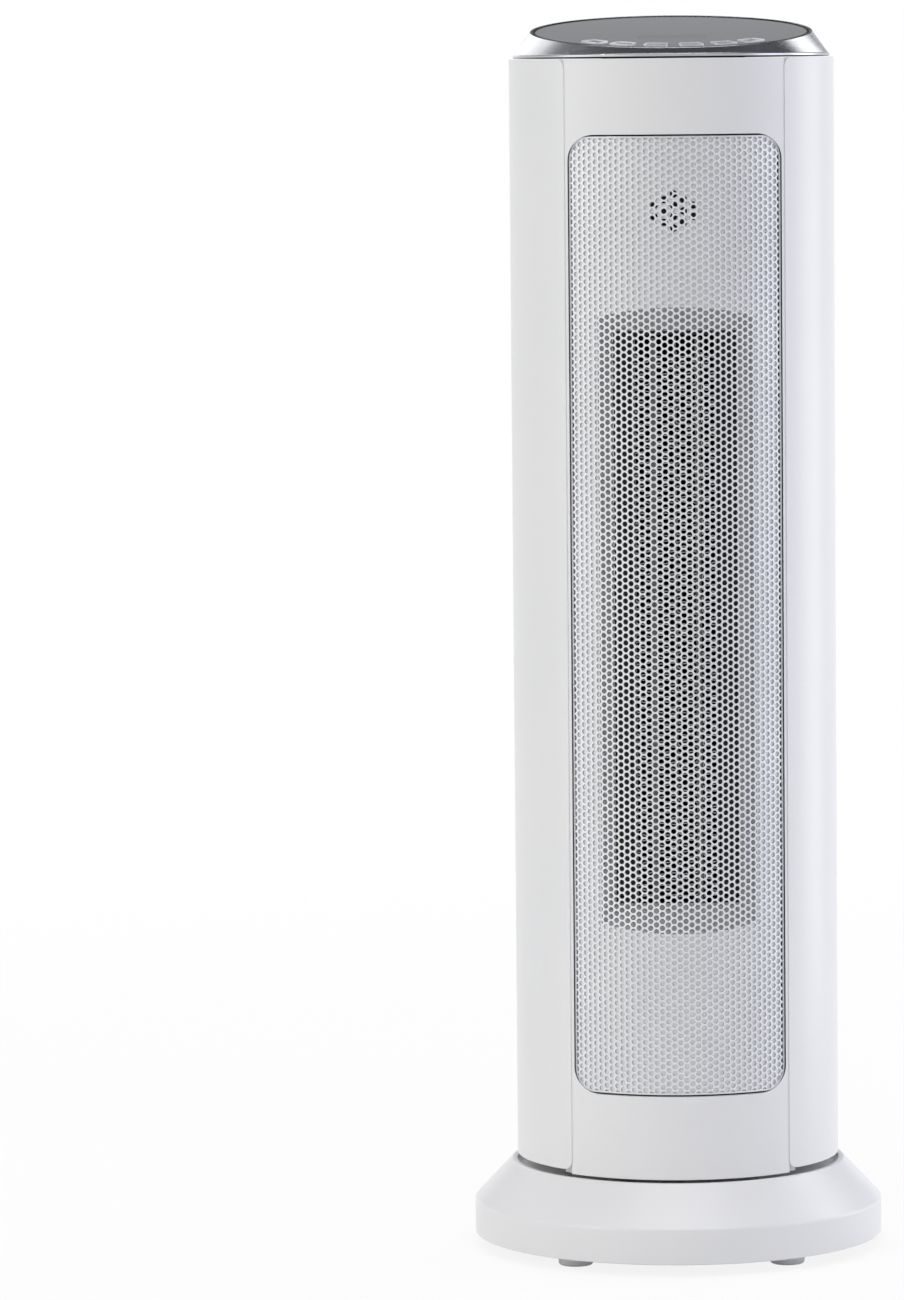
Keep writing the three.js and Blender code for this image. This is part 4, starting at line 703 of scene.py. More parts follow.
class HEATER_OT_cord(bpy.types.Operator):
    """Adds the mains lead in one length, with its coil, its tie, its sleeve and its plug"""

    bl_idname = "heater.cord"
    bl_label = "Mains lead"

    def execute(self, context):
        diameter = context.scene.heater_sizes.cord_diameter
        route = [*smooth_path(RUN)[:-1], *coil_points(), *smooth_path(LEAD)[1:]]
        pieces = [self.make_plug(), self.make_pin(1), self.make_pin(2), self.make_tie(),
                  self.make_sleeve()]
        bpy.ops.curve.primitive_bezier_curve_add()
        cord = context.object
        cord.name = "cord"
        cord.location = (0, 0, 0)
        curve = cord.data
        curve.splines.clear()
        spline = curve.splines.new("POLY")
        spline.points.add(len(route) - 1)
        for point, at in zip(spline.points, route):
            point.co = (*at * MM, 1)
        spline.use_smooth = True
        curve.dimensions = "3D"
        curve.bevel_depth = diameter / 2
        curve.bevel_resolution = 5
        curve.use_fill_caps = True
        curve.materials.append(FINISHES["pvc_white"])
        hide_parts("cord_run", "cord_coil", "cord_lead")
        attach(cord, "base")
        return {"FINISHED"}

    def make_plug(self):
        """The flat two-pin plug: tapered shoulders, a softened body and grip ribs at its sides."""
        low, high = box_mm("plug")
        middle, size = ((low + high) / 2).x, high - low
        half, shoulder, tail = size.x / 2, size.y * 0.45, 5.5
        outline = rounded([
            (-tail, high.y, 1), (tail, high.y, 1), (half, high.y - shoulder, 9), (half, low.y, 3),
            (-half, low.y, 3), (-half, high.y - shoulder, 9)])
        body = raised("plug", [(middle + x, y) for x, y in outline], low.z, high.z)
        bevelled(body, 2.6, 4, 50)
        first, apart, wide, deep = low.y + 9, 3, 1.4, 0.7
        ribs = [block("rib", middle + side * (half - deep), middle + side * (half + 1),
                      first + apart * i, first + apart * i + wide, low.z - 1, high.z + 1)
                for i in range(5) for side in (-1, 1)]
        cut(body, joined("ribs", ribs))
        return finished(body, "plug_body", "base", "pvc_white", ["plug"])

    def make_pin(self, index):
        """One round pin with a softened tip."""
        name = f"plug_pin_{index}"
        low, high = box_mm(name)
        middle = (low + high) / 2
        pin = rod("pin", (high.x - low.x) / 2, low.y, high.y, 32, (middle.x, middle.z), "Y")
        bevelled(pin, 1.1, 4)
        return finished(pin, f"{name}_nickel", "base", "nickel_pin", [name])

    def make_tie(self):
        """A hook-and-loop strap wound once round the coil's turns."""
        thick, half_wide, corner = 0.45, 6, 2.6
        left = COIL_CENTRE[0] + COIL_RADIUS - 3.5 * COIL_PITCH - 1
        right = COIL_CENTRE[0] + COIL_RADIUS + CORD_RADIUS + 0.6
        low, high = 0.05, COIL_LOW + COIL_LAYER + CORD_RADIUS + 0.35
        near, far = COIL_CENTRE[1] - half_wide, COIL_CENTRE[1] + half_wide
        outline = rectangle(left, right, low, high, corner)
        inside = rectangle(left + thick, right - thick, low + thick, high - thick, corner - 0.4)
        tie = cut(driven("tie", outline, near, far), driven("gap", inside, near - 1, far + 1))
        bevelled(tie, 0.15, 2)
        return finished(tie, "coil_tie", "base", "tie_black")

    def make_sleeve(self):
        """The tapered sleeve that keeps the lead from kinking where it leaves the base."""
        inside, long, bore, collar = 4, 24, CORD_RADIUS + 0.05, 3
        wide, thick, thinned = 4.9, 4.5, 1.05
        taper = [(thick - thinned * (h - collar) / (long - collar), h) for h in range(collar, long + 1)]
        sleeve = spun("sleeve", [(bore, 0), (wide, 0), (wide, collar - 0.5), *taper,
                                 *((bore, h) for h in range(long, 0, -1)), (bore, 0)], 48)
        path = smooth_path(RUN)
        path.insert(0, path[0] - (path[1] - path[0]).normalized() * inside)
        # Each ring of points is set square to the lead's own line at its distance along it
        for vertex in sleeve.data.vertices:
            left, index = vertex.co.z, 0
            while left > (path[index + 1] - path[index]).length:
                left -= (path[index + 1] - path[index]).length
                index += 1
            aim = (path[index + 1] - path[index]).normalized()
            across = aim.to_track_quat("Z", "Y") @ Vector((vertex.co.x, vertex.co.y, 0))
            vertex.co = path[index] + aim * left + across
        return finished(sleeve, "cord_sleeve", "base", "pvc_white")


class HEATER_OT_base_shell(bpy.types.Operator):
    """Adds the stepped round base with its deck, screw bosses and the notch for the lead"""

    bl_idname = "heater.base_shell"
    bl_label = "Base shell"

    def execute(self, context):
        # The wall reaches 1 mm below the CAD node's
        outer, low, high = SHELL_HIGH.x, SHELL_LOW.z - 1, SHELL_HIGH.z
        inner, rim_inner, under_deck = outer - BASE_WALL, RIM_RADIUS - BASE_WALL, DECK_TOP - BASE_WALL
        deck_hole, deck_edge = 26, 78.79
        profile = rounded([
            (inner, low), (outer, low, 0.7), (outer, BASE_WALL_TOP, 2.4), (RIM_RADIUS, high, 1.2),
            (rim_inner, high, 0.5), (rim_inner, DECK_TOP, 0.8), (deck_hole, DECK_TOP, 0.5),
            (deck_hole, under_deck), (deck_edge, under_deck), (inner, BASE_WALL_TOP - BASE_WALL)])
        shell = spun("base_shell", [*profile, profile[0]], context.scene.heater_sizes.round_steps)
        bosses = [rod("boss", 4, 9.3, DECK_TOP - BASE_WALL / 2, 32, (x, y))
                  for x in (-66, 66) for y in (-30, 30)]
        combined(shell, "UNION", joined("bosses", bosses))
        half, centre = 5.5, 12.5
        arch = [(half * math.cos(a * DEGREE), centre + half * math.sin(a * DEGREE))
                for a in range(0, 181, 9)]
        notch = [(half, low - WELL_OVER), *arch, (-half, low - WELL_OVER)]
        cut(shell, driven("notch", notch, outer - 10, outer + WELL_OVER))

        def on_mouth(vertex):
            """True on the notch's edge in the outer face."""
            x, y, z = vertex.co
            outside = y > 90 and abs(x) < 7 and z < centre + half + 0.2
            return (outside and vertex.co.xy.length > outer - 0.05
                    and abs(Vector((x, max(z, centre) - centre)).length - half) < 0.06)

        with editing(shell, "DESELECT"):
            choose(shell, "edges", lambda e: all(map(on_mouth, e.verts)))
            bpy.ops.mesh.bevel(offset=0.7, segments=3, affect="EDGES")
        finished(shell, "base_housing", "base", "abs_white", ["base_shell"])
        return {"FINISHED"}


class HEATER_OT_feet(bpy.types.Operator):
    """Adds the four soft feet, each with its peg"""

    bl_idname = "heater.feet"
    bl_label = "Feet"

    def execute(self, context):
        radius, top, peg, peg_top = 8, 6.7, 3, 10.2
        foot = spun("foot", rounded([
            (0, 0), (radius, 0, 1.4), (radius, top, 0.4), (peg, top, 0.3), (peg, peg_top, 0.8),
            (0, peg_top)]), 48)
        cut(foot, spun("groove", [(4.2, -1), (5, -1), (5, 0.5), (4.2, 0.5), (4.2, -1)], 48))
        for index in range(1, 5):
            name = f"foot_{index}"
            low, high = box_mm(name)
            middle = (low + high) / 2
            one = copied(foot, "foot", (middle.x, middle.y, 0))
            finished(one, f"{name}_pad", "base", "rubber_pale", [name])
        bpy.data.objects.remove(foot)
        return {"FINISHED"}


class HEATER_OT_casing(bpy.types.Operator):
    """Adds the tall casing, open at the front, with the window for the rear cover"""

    bl_idname = "heater.casing"
    bl_label = "Casing"

    def execute(self, context):
        sizes = context.scene.heater_sizes
        low, high, radius = CASING_LOW.z, CASING_HIGH.z, BODY_RADIUS
        casing = added("cylinder", "casing", vertices=sizes.round_steps, radius=radius,
                       depth=high - low, end_fill_type="NOTHING", location=(0, 0, (low + high) / 2))
        applied(casing, "SOLIDIFY", thickness=WALL, offset=-1, use_even_offset=True,
                use_quality_normals=True)
        near, far, tall = COVER_HALF + 0.5, 71.9, 4.5
        bosses = [block("boss", *sorted((side * near, side * far)), LEDGE_Y - 14.5, LEDGE_Y - 2.5,
                        z - tall, z + tall) for z in SCREW_HEIGHTS for side in (-1, 1)]
        combined(casing, "UNION", joined("bosses", bosses))
        flare, corner = FRONT_HALF + 10, 4
        past_low, past_high = low - WELL_OVER, high + WELL_OVER
        front = rounded([
            (-flare, past_low), (flare, past_low), (flare, low), (FRONT_HALF, low, corner),
            (FRONT_HALF, high, corner), (flare, high), (flare, past_high), (-flare, past_high),
            (-flare, high), (-FRONT_HALF, high, corner), (-FRONT_HALF, low, corner), (-flare, low)])
        gap = 0.3
        window = rectangle(-WINDOW_HALF, WINDOW_HALF, COVER_LOW.z - gap, COVER_HIGH.z + gap,
                           WINDOW_CORNER, 12)
        cut(casing, driven("front", front, -radius - WELL_OVER, 0),
            driven("window", window, LEDGE_Y + 0.6, radius + WELL_OVER))
        cut(casing, joined("bores", ledge_bores(LEDGE_Y - 15, LEDGE_Y)))
        bevelled(casing, sizes.edge_round / MM, 3, 50)
        finished(casing, "casing_shell", "tower", "abs_white", ["casing"])
        return {"FINISHED"}


def ledge_bores(low, high):
    """Bores along Y for the eight screws of the two ledges."""
    return [rod("bore", BORE_RADIUS, low, high, 16, (side * SCREW_X, z), "Y")
            for z in SCREW_HEIGHTS for side in (-1, 1)]


class HEATER_OT_front_panel(bpy.types.Operator):
    """Adds the front panel, which laps behind the casing and frames the grille"""

    bl_idname = "heater.front_panel"
    bl_label = "Front panel"

    def execute(self, context):
        # Stands fuller than the CAD panel, so that the step at the casing stays as slight as it is
        fuller, play, hidden = 1.15, 0.01, 5
        outer, lap = PANEL_RADIUS + fuller, BODY_RADIUS - WALL - 0.3
        step = math.asin((FRONT_HALF - play) / outer) / DEGREE
        edge = math.asin(FRONT_HALF / BODY_RADIUS) / DEGREE + hidden
        outline = [*arc(outer, -step, step, PLAN_STEP), *arc(lap, step, edge, PLAN_STEP),
                   *arc(lap - WALL, edge, -edge, PLAN_STEP), *arc(lap, -edge, -step, PLAN_STEP)]
        panel = raised("panel", outline, PANEL_LOW.z, PANEL_HIGH.z)
        gap = 0.5
        half = GRILLE_HALF + gap
        opening = rectangle(-half, half, GRILLE_LOW.z - gap, GRILLE_HIGH.z + gap,
                            GRILLE_CORNER + gap, 12)
        cut(panel, driven("opening", opening, -BODY_RADIUS - WELL_OVER, 0))
        bevelled(panel, 0.12, 2, 50)
        finished(panel, "front_panel_frame", "tower", "abs_white", ["front_panel"])
        return {"FINISHED"}


class HEATER_OT_grille(bpy.types.Operator):
    """Adds the perforated sheet in two halves, the folded rim round it, and under that a black strip as
    painted shade in the gap
    """

    bl_idname = "heater.grille"
    bl_label = "Grille"

    def execute(self, context):
        sizes = context.scene.heater_sizes
        pitch, row, hole = sizes.grille_pitch / MM, sizes.grille_row / MM, sizes.grille_hole / MM
        radius, thickness, fold, gap_shade_thick = -GRILLE_LOW.y, 0.7, 0.9, 1
        half_width = radius * math.asin(GRILLE_HALF / radius)
        low, high = GRILLE_LOW.z, GRILLE_HIGH.z
        column = pitch * math.cos(TURN / 12)
        cell = self.make_cell(pitch, row, hole, column)
        units = 2 * math.ceil(half_width / column / 2) + 2
        rows = math.ceil((high - low) / 2 / row) + 2
        for name, sign in (("lower", -1), ("upper", 1)):
            start = (low + high) / 2 - (0 if sign > 0 else (rows - 1) * row)
            sheet = copied(cell, "sheet", (-column * units, 0, start))
            repeated(sheet, units + 1, (2 * column, 0, 0))
            repeated(sheet, rows, (0, 0, row))
            tidied(sheet, 0.01)
            self.trim(sheet, half_width, sign)
            applied(sheet, "SOLIDIFY", thickness=thickness, offset=0, use_rim=True)
            self.bend(sheet, radius - 0.1 - thickness / 2)
            finished(sheet, f"grille_sheet_{name}", "tower", "coated_sheet",
                     ["front_grille"])
        bpy.data.objects.remove(cell)
        rim = self.border("rim", half_width, 0.25, 1.1, fold, radius - 0.02)
        bevelled(rim, 0.25, 2, 50)
        finished(rim, "grille_rim", "tower", "coated_sheet", ["front_grille"])
        # A black strip behind the rim, as painted shade: it darkens the gap between the panel and the
        # grille
        seal = self.border("seal", half_width, -0.42, 2.1, gap_shade_thick, radius - 0.03 - fold)
        finished(seal, "grille_seal", "tower", "foam_black")
        return {"FINISHED"}

    def make_cell(self, pitch, row, hole, column):
        """Two flat hexagons side by side, each with its round hole."""
        made = []
        for x, z in ((0, 0), (column, pitch / 2)):
            one = added("circle", "cell", vertices=6, radius=pitch / 2 / math.cos(TURN / 12),
                        fill_type="NOTHING")
            with editing(one):
                turn(TURN / 12, "Z")
                bpy.ops.mesh.primitive_circle_add(vertices=12, radius=hole / 2, fill_type="NOTHING")
                bpy.ops.mesh.select_all(action="SELECT")
                bpy.ops.mesh.bridge_edge_loops()
                bpy.ops.mesh.select_all(action="SELECT")
                turn(-TURN / 4, "X")
                bpy.ops.transform.translate(value=(x, 0, z))
            made.append(one)
        cell = joined("cell", made)
        with editing(cell):
            bpy.ops.transform.resize(value=(1, 1, row / pitch), center_override=(0, 0, 0))
        return cell

    def trim(self, sheet, half_width, sign):
        """Trims the sheet to its half of the round-cornered outline."""
        inset, steps = 0.6, 8
        half, corner = half_width - inset, GRILLE_CORNER - inset
        end = GRILLE_HIGH.z - inset if sign > 0 else GRILLE_LOW.z + inset
        middle = (GRILLE_LOW.z + GRILLE_HIGH.z) / 2
        planes = [((half * s, 0, 0), (s, 0, 0)) for s in (-1, 1)]
        planes += [((0, 0, end), (0, 0, sign)), ((0, 0, middle), (0, 0, -sign))]
        for s in (-1, 1):
            centre = Vector((s * (half - corner), 0, end - sign * corner))
            for k in range(1, steps):
                turned = k * TURN / 4 / steps
                out = Vector((s * math.cos(turned), 0, sign * math.sin(turned)))
                planes.append((centre + out * corner, out))
        for place, out in planes:
            with editing(sheet):
                bpy.ops.mesh.bisect(plane_co=place, plane_no=out, clear_outer=True, use_fill=False)

    def border(self, name, half_width, outside, inside, thick, radius):
        """A strip between two insets from the grille's outline, cut so that it can bend, and bent."""
        outer, inner = (rectangle(
            inset - half_width, half_width - inset, GRILLE_LOW.z + inset, GRILLE_HIGH.z - inset,
            GRILLE_CORNER - inset, 14) for inset in (outside, inside))
        strip = driven(name, outer, -thick / 2, thick / 2)
        cut(strip, driven("inner", inner, -OVER, OVER))
        count = 25
        with editing(strip):
            for k in range(1 - count, count):
                bpy.ops.mesh.select_all(action="SELECT")
                bpy.ops.mesh.bisect(plane_co=(k * half_width / count, 0, 0), plane_no=(1, 0, 0))
        self.bend(strip, radius - thick / 2)
        return strip

    def bend(self, sheet, radius):
        """Wraps a flat piece round the tower's axis at some radius."""
        xs = [v.co.x for v in sheet.data.vertices]
        applied(sheet, "SIMPLE_DEFORM", deform_method="BEND", deform_axis="Z",
                angle=(max(xs) - min(xs)) / radius)
        with editing(sheet):
            bpy.ops.transform.translate(value=(0, -radius, 0))
            bpy.ops.mesh.normals_make_consistent(inside=False)


class HEATER_OT_heater_frame(bpy.types.Operator):
    """Adds the curved frame behind the grille, with the funnel to the element and the sensor holes"""

    bl_idname = "heater.heater_frame"
    bl_label = "Heater frame"

    def execute(self, context):
        low, high = box_mm("heater_frame")
        radius, wall = -low.y, 1.6
        edge = math.asin(FRONT_HALF / BODY_RADIUS) / DEGREE + 0.2
        sheet = raised("frame", [*arc(radius, -edge, edge), *arc(radius - wall, edge, -edge)],
                       low.z, high.z)
        slope = (FUNNEL_MOUTH[0] - FUNNEL_END[0]) / (FUNNEL_END[3] - FUNNEL_MOUTH[3])

        def moved(face, by):
            """A face of the funnel, moved inwards along its slope."""
            half, bottom, top, y = face
            return half - slope * by, bottom + slope * by, top - slope * by, y + by

        start = moved(FUNNEL_MOUTH, -radius - WELL_OVER - FUNNEL_MOUTH[3])
        skin = self.frustum(start, FUNNEL_END, wall)
        combined(skin, "INTERSECT", raised("envelope", arc(radius, -90, 90), low.z, high.z))
        # The land that the grille lies on
        land, inset = radius + 2.7, 0.6
        reach = math.asin((GRILLE_HALF - inset) / BODY_RADIUS) / DEGREE
        front = raised("land", [*arc(land, -reach, reach), *arc(radius - wall / 2, reach, -reach)],
                       GRILLE_LOW.z + inset, GRILLE_HIGH.z - inset)
        combined(sheet, "UNION", front, skin)
        cut(sheet, self.frustum(start, moved(FUNNEL_END, 0.6), 0))
        apart, deep, holes = 5.1, 4, []
        for column in range(-2, 3):
            count = 4 - abs(column)
            for row in range(count):
                x = column * apart * math.cos(TURN / 12) + SENSOR_ASIDE
                z = SENSOR_HEIGHT + (row - (count - 1) / 2) * apart
                holes.append(rod("hole", 1.7, -radius - deep, deep - radius, 24, (x, z), "Y"))
        cut(sheet, joined("holes", holes))
        bevelled(sheet, 0.35, 2, 40)
        finished(sheet, "funnel_frame", "tower", "abs_white", ["heater_frame"])
        return {"FINISHED"}

    def frustum(self, near, far, grow):
        """A block whose far face is smaller; each face is given as (half width, low, high, y)."""
        half, low, high, front = near
        far_half, far_low, far_high, back = far
        middle = (low + high) / 2
        body = block("frustum", -half - grow, half + grow, front, back, low - grow, high + grow)
        with editing(body):
            choose(body, "verts", lambda v: abs(v.co.y - back) < 0.01)
            across = (far_half + grow) / (half + grow)
            up = (far_high - far_low + 2 * grow) / (high - low + 2 * grow)
            bpy.ops.transform.resize(value=(across, 1, up), center_override=(0, back, middle))
            bpy.ops.transform.translate(value=(0, 0, (far_low + far_high) / 2 - middle))
        return body


class HEATER_OT_element(bpy.types.Operator):
    """Adds the ceramic element: corrugated fins between upright bars, held in two end blocks"""

    bl_idname = "heater.element"
    bl_label = "Ceramic element"

    def execute(self, context):
        low, high = box_mm("ceramic_element")
        front, back, side, end = low.y, high.y, high.x, 12
        bottom, top = low.z + end, high.z - end
        fins = [self.corrugation(left, right, front + 0.6, back - 0.6, bottom, top)
                for left, right in ((-18.5, -11.8), (-9.2, -0.3), (0.3, 9.2), (11.8, 18.5))]
        bars = [bevelled(block("bar", left, right, front + 0.5, back - 0.5, bottom - 3, top + 3), 0.25)
                for left, right in (
                    (-19, -18.3), (-11.4, -8.8), (-0.35, 0.35), (8.8, 11.4), (18.3, 19))]
        for name, parts, metal in (("fins", fins, "strip"), ("bars", bars, "tube")):
            finished(joined(name, parts), f"element_{name}", "tower",
                     f"aluminium_{metal}", ["ceramic_element"])
        holder = block("holder", -side, side, front, back, low.z, high.z)
        window = rectangle(-19.3, 19.3, bottom - 4, top + 4, 1)
        cut(holder, driven("window", window, front - OVER, back + OVER))
        rails = [driven("rail", rectangle(*sorted((s * 21, s * (side + OVER))), bottom, top, 1),
                        front - OVER, front + 2.5) for s in (-1, 1)]
        cut(holder, joined("rails", rails))
        bevelled(holder, 0.5)
        finished(holder, "element_holder", "tower", "nylon_black",
                 ["ceramic_element"])
        return {"FINISHED"}

    def corrugation(self, left, right, front, back, low, high):
        """A strip folded to and fro between two bars as it climbs."""
        pitch, ease = bpy.context.scene.heater_sizes.fin_pitch / MM, 0.8
        period = [(left, 0), (right - ease, 0.3), (right, 0.5), (right, 1), (left + ease, 1.3),
                  (left, 1.5), (left, 2)]
        strip = drawn("strip", [(x, front, low + pitch * z) for x, z in period], closed=False)
        with editing(strip):
            extruded((0, back - front, 0))
        repeated(strip, int((high - low) / (2 * pitch)), (0, 0, 2 * pitch))
        tidied(strip, 0.01)
        return applied(strip, "SOLIDIFY", thickness=0.45, offset=0, use_rim=True)


class HEATER_OT_rear_cover(bpy.types.Operator):
    """Adds the moulded back with its inlet slots, hand grip, switch recess and the two screw ledges"""

    bl_idname = "heater.rear_cover"
    bl_label = "Rear cover"

    def execute(self, context):
        low, high = COVER_LOW.z, COVER_HIGH.z
        under = LEDGE_Y - WALL
        cover = self.shape(0, under)
        flange = raised("flange", rectangle(COVER_LOW.x, COVER_HIGH.x, under, LEDGE_Y), low, high)
        seen = rectangle(-WINDOW_HALF, WINDOW_HALF, low, high, WINDOW_CORNER, 12)
        combined(flange, "INTERSECT", driven("window", seen, under - OVER, BEHIND))
        wall = driven("wall", seen, under, BODY_RADIUS)
        thick = 1.6
        hollow = rectangle(thick - WINDOW_HALF, WINDOW_HALF - thick, low + thick, high - thick,
                           WINDOW_CORNER - thick, 12)
        cut(wall, driven("hollow", hollow, under - OVER, BODY_RADIUS + OVER))
        combined(wall, "INTERSECT",
                 rod("envelope", BODY_RADIUS - WALL - 0.2, low - OVER, high + OVER, 192))
        combined(cover, "UNION", flange, wall)
        cut(cover, self.shape(WALL, under - OVER))
        combined(cover, "UNION", self.cup())
        cut(cover, self.pocket(0), self.recess())
        cut(cover, *self.slots(context.scene.heater_sizes))
        bores = [*ledge_bores(under - 1, LEDGE_Y + 1),
                 *(rod("bore", BORE_RADIUS, 68, 80, 16, (PLATE_SCREW_X, z), "Y")
                   for z in PLATE_SCREW_HEIGHTS)]
        cut(cover, joined("bores", bores))
        bevelled(cover, 0.3, 2, 42)
        finished(cover, "rear_cover_moulding", "tower", "abs_white", ["rear_cover"])
        return {"FINISHED"}

    def shape(self, inset, under):
        """The cover's bulk less an inset, with a curved back and rounded corners."""
        half, radius = COVER_HALF - inset, BODY_RADIUS - inset
        low, high = COVER_LOW.z + inset, COVER_HIGH.z - inset
        plan_corner, low_corner, top_corner = 3.5 - inset, 12 - inset, 4 - inset
        edge = math.asin(half / radius) / DEGREE
        back = arc(radius, 180 - edge, 180 + edge, PLAN_STEP)
        plan = rounded([(half, under), (*back[0], plan_corner), *back[1:-1],
                        (*back[-1], plan_corner), (-half, under)])
        seen = rounded([(-half, low, low_corner), (half, low, low_corner),
                        (half, high, top_corner), (-half, high, top_corner)], 10)
        return combined(raised("shape", plan, low, high), "INTERSECT",
                        driven("seen", seen, under - OVER, BEHIND))

    def pocket(self, grow):
        """The hand grip's hollow: a rounded rectangle that widens steadily from floor to mouth."""
        half, tall, middle = 37.8 + grow, 13.4 + grow, GRIP_MIDDLE
        floor, mouth = 55 - grow, 88
        deep = mouth - floor
        body = driven("pocket", rectangle(-half, half, middle - tall, middle + tall, 5 + grow, 8),
                      floor, mouth)
        with editing(body):
            choose(body, "verts", lambda v: abs(v.co.y - mouth) < 0.01)
            bpy.ops.transform.resize(value=((half + deep) / half, 1, (tall + 0.13 * deep) / tall),
                                     center_override=(0, mouth, middle))
            choose(body, "edges", lambda e: all(abs(v.co.y - floor) < 0.01 for v in e.verts))
            bpy.ops.mesh.bevel(offset=2.5, segments=5, affect="EDGES")
        return body

    def cup(self):
        """The hollow's wall, kept inside the cover's curved back."""
        cup = self.pocket(WALL)
        edge, tall = 58, 40
        back = arc(BODY_RADIUS - WALL / 2, 180 - edge, 180 + edge, PLAN_STEP)
        envelope = raised("envelope", back, GRIP_MIDDLE - tall, GRIP_MIDDLE + tall)
        return combined(cup, "INTERSECT", envelope)

    def recess(self):
        """The cut for the switch, with softened corners."""
        low, high, gap = BEZEL_LOW, BEZEL_HIGH, 0.7
        return driven("recess", rectangle(low.x - gap, high.x + gap, low.z - gap, high.z + gap, 0.5, 3),
                      high.y - 7, BODY_RADIUS + WELL_OVER)

    def slots(self, sizes):
        """Cutters for the four columns: slots right through, and shallow pockets where one is blind."""
        pitch, tall = sizes.slot_pitch / MM, sizes.slot_height / MM
        # The slots' length, the web beside a slot, and the slit left open at the end of a blind one
        long, web, slit = 18.5, 1.75, 0.9
        model = driven("slot", rectangle(-0.5, 0.5, -0.5, 0.5, 0.03, 2), 50, BODY_RADIUS + WELL_OVER)
        through, blind = [], []
        for column in range(4):
            side = 1 if column < 2 else -1
            near = (22 if column in (0, 3) else 0) + web
            far = near + long
            for row in range(SLOT_ROWS):
                if slot_is_plate(row, column, pitch, tall):
                    continue
                top = SLOT_TOP - row * pitch
                opened = near + (far - near) * slot_open_share(row, column)
                spans = [(near, opened)] if opened > near else []
                if opened < far:
                    blind.append(self.blind_slot(side, near, far, top - tall, top))
                    spans.append((far - slit, far))
                for start, end in spans:
                    one = copied(model, "slot")
                    with editing(one):
                        bpy.ops.transform.resize(value=(end - start, 1, tall),
                                                 center_override=(0, 0, 0))
                        bpy.ops.transform.translate(
                            value=(side * (start + end) / 2, 0, top - tall / 2))
                    through.append(one)
        bpy.data.objects.remove(model)
        return joined("slots", through), joined("pockets", blind)

    def blind_slot(self, side, near, far, low, high):
        """A shallow pocket that follows the curved back."""
        radius, clear = BODY_RADIUS - 1.2, 1.06
        turns = [180 - side * math.asin(x / radius) / DEGREE for x in (near, far)]
        floor = arc(radius, *turns, PLAN_STEP)
        air = [(x * clear, y * clear) for x, y in reversed(floor)]
        return raised("pocket", [*floor, *air], low, high)


def slot_open_share(row, column):
    """How much of a slot is open, from the middle of the cover: all, the inner half or nothing."""
    first_half, first_blind = 14, 22
    if row in (0, SLOT_ROWS - 1) or (column == 3 and row >= first_blind):
        return 0
    if column in (0, 3) and row in (1, SLOT_ROWS - 2):
        return 0
    if column == 0 and first_half <= row < first_half + 3:
        return 0.5
    if column == 3 and row >= first_blind - 3:
        return 0.5
    return 1


def slot_is_plate(row, column, pitch, tall):
    """True where a screw plate takes the place of a slot."""
    height = SLOT_TOP - row * pitch - tall / 2
    return column == 2 and any(abs(height - z) < pitch + tall for z in PLATE_SCREW_HEIGHTS)


class HEATER_OT_screws(bpy.types.Operator):
    """Adds the pan-head screws of the rear cover, each with its cross recess"""

    bl_idname = "heater.screws"
    bl_label = "Screws"

    def execute(self, context):
        head = 2
        screw = spun("screw", [
            (0, -11), (1.2, -11), (1.6, -10), (1.6, -0.2), (1.8, 0), (4, 0), (4.2, 0.25), (4.2, 0.8),
            (4.05, 1.15), (3.6, 1.5), (2.9, 1.78), (2, 1.94), (1, head), (0, head)], 48)
        # The blades of the cross narrow towards the bottom of the recess
        bottom, narrowed = 0.7, 0.55
        for wide, long in ((0.45, 2.1), (2.1, 0.45)):
            blade = block("blade", -wide, wide, -long, long, bottom, 3)
            with editing(blade):
                choose(blade, "verts", lambda v: v.co.z < 1)
                bpy.ops.transform.resize(value=(narrowed, narrowed, 1), center_override=(0, 0, bottom))
            cut(screw, blade)
        bevelled(screw, 0.1, 2, 40)
        with editing(screw):
            turn(TURN / 4, "X")
        # The recess of each screw stops at another angle, as hand-driven screws do
        names = [f"rear_screw_{i}" for i in range(1, 9)] + ["plate_screw_1", "plate_screw_2"]
        for index, name in enumerate(names):
            low, high = box_mm(name)
            middle = (low + high) / 2
            one = copied(screw, "screw")
            with editing(one):
                turn((20 + 37 * index) * DEGREE, "Y")
                bpy.ops.transform.translate(value=(middle.x, high.y - head, middle.z))
            finished(one, f"{name}_zinc", "tower", "zinc_dark", [name])
        bpy.data.objects.remove(screw)
        return {"FINISHED"}


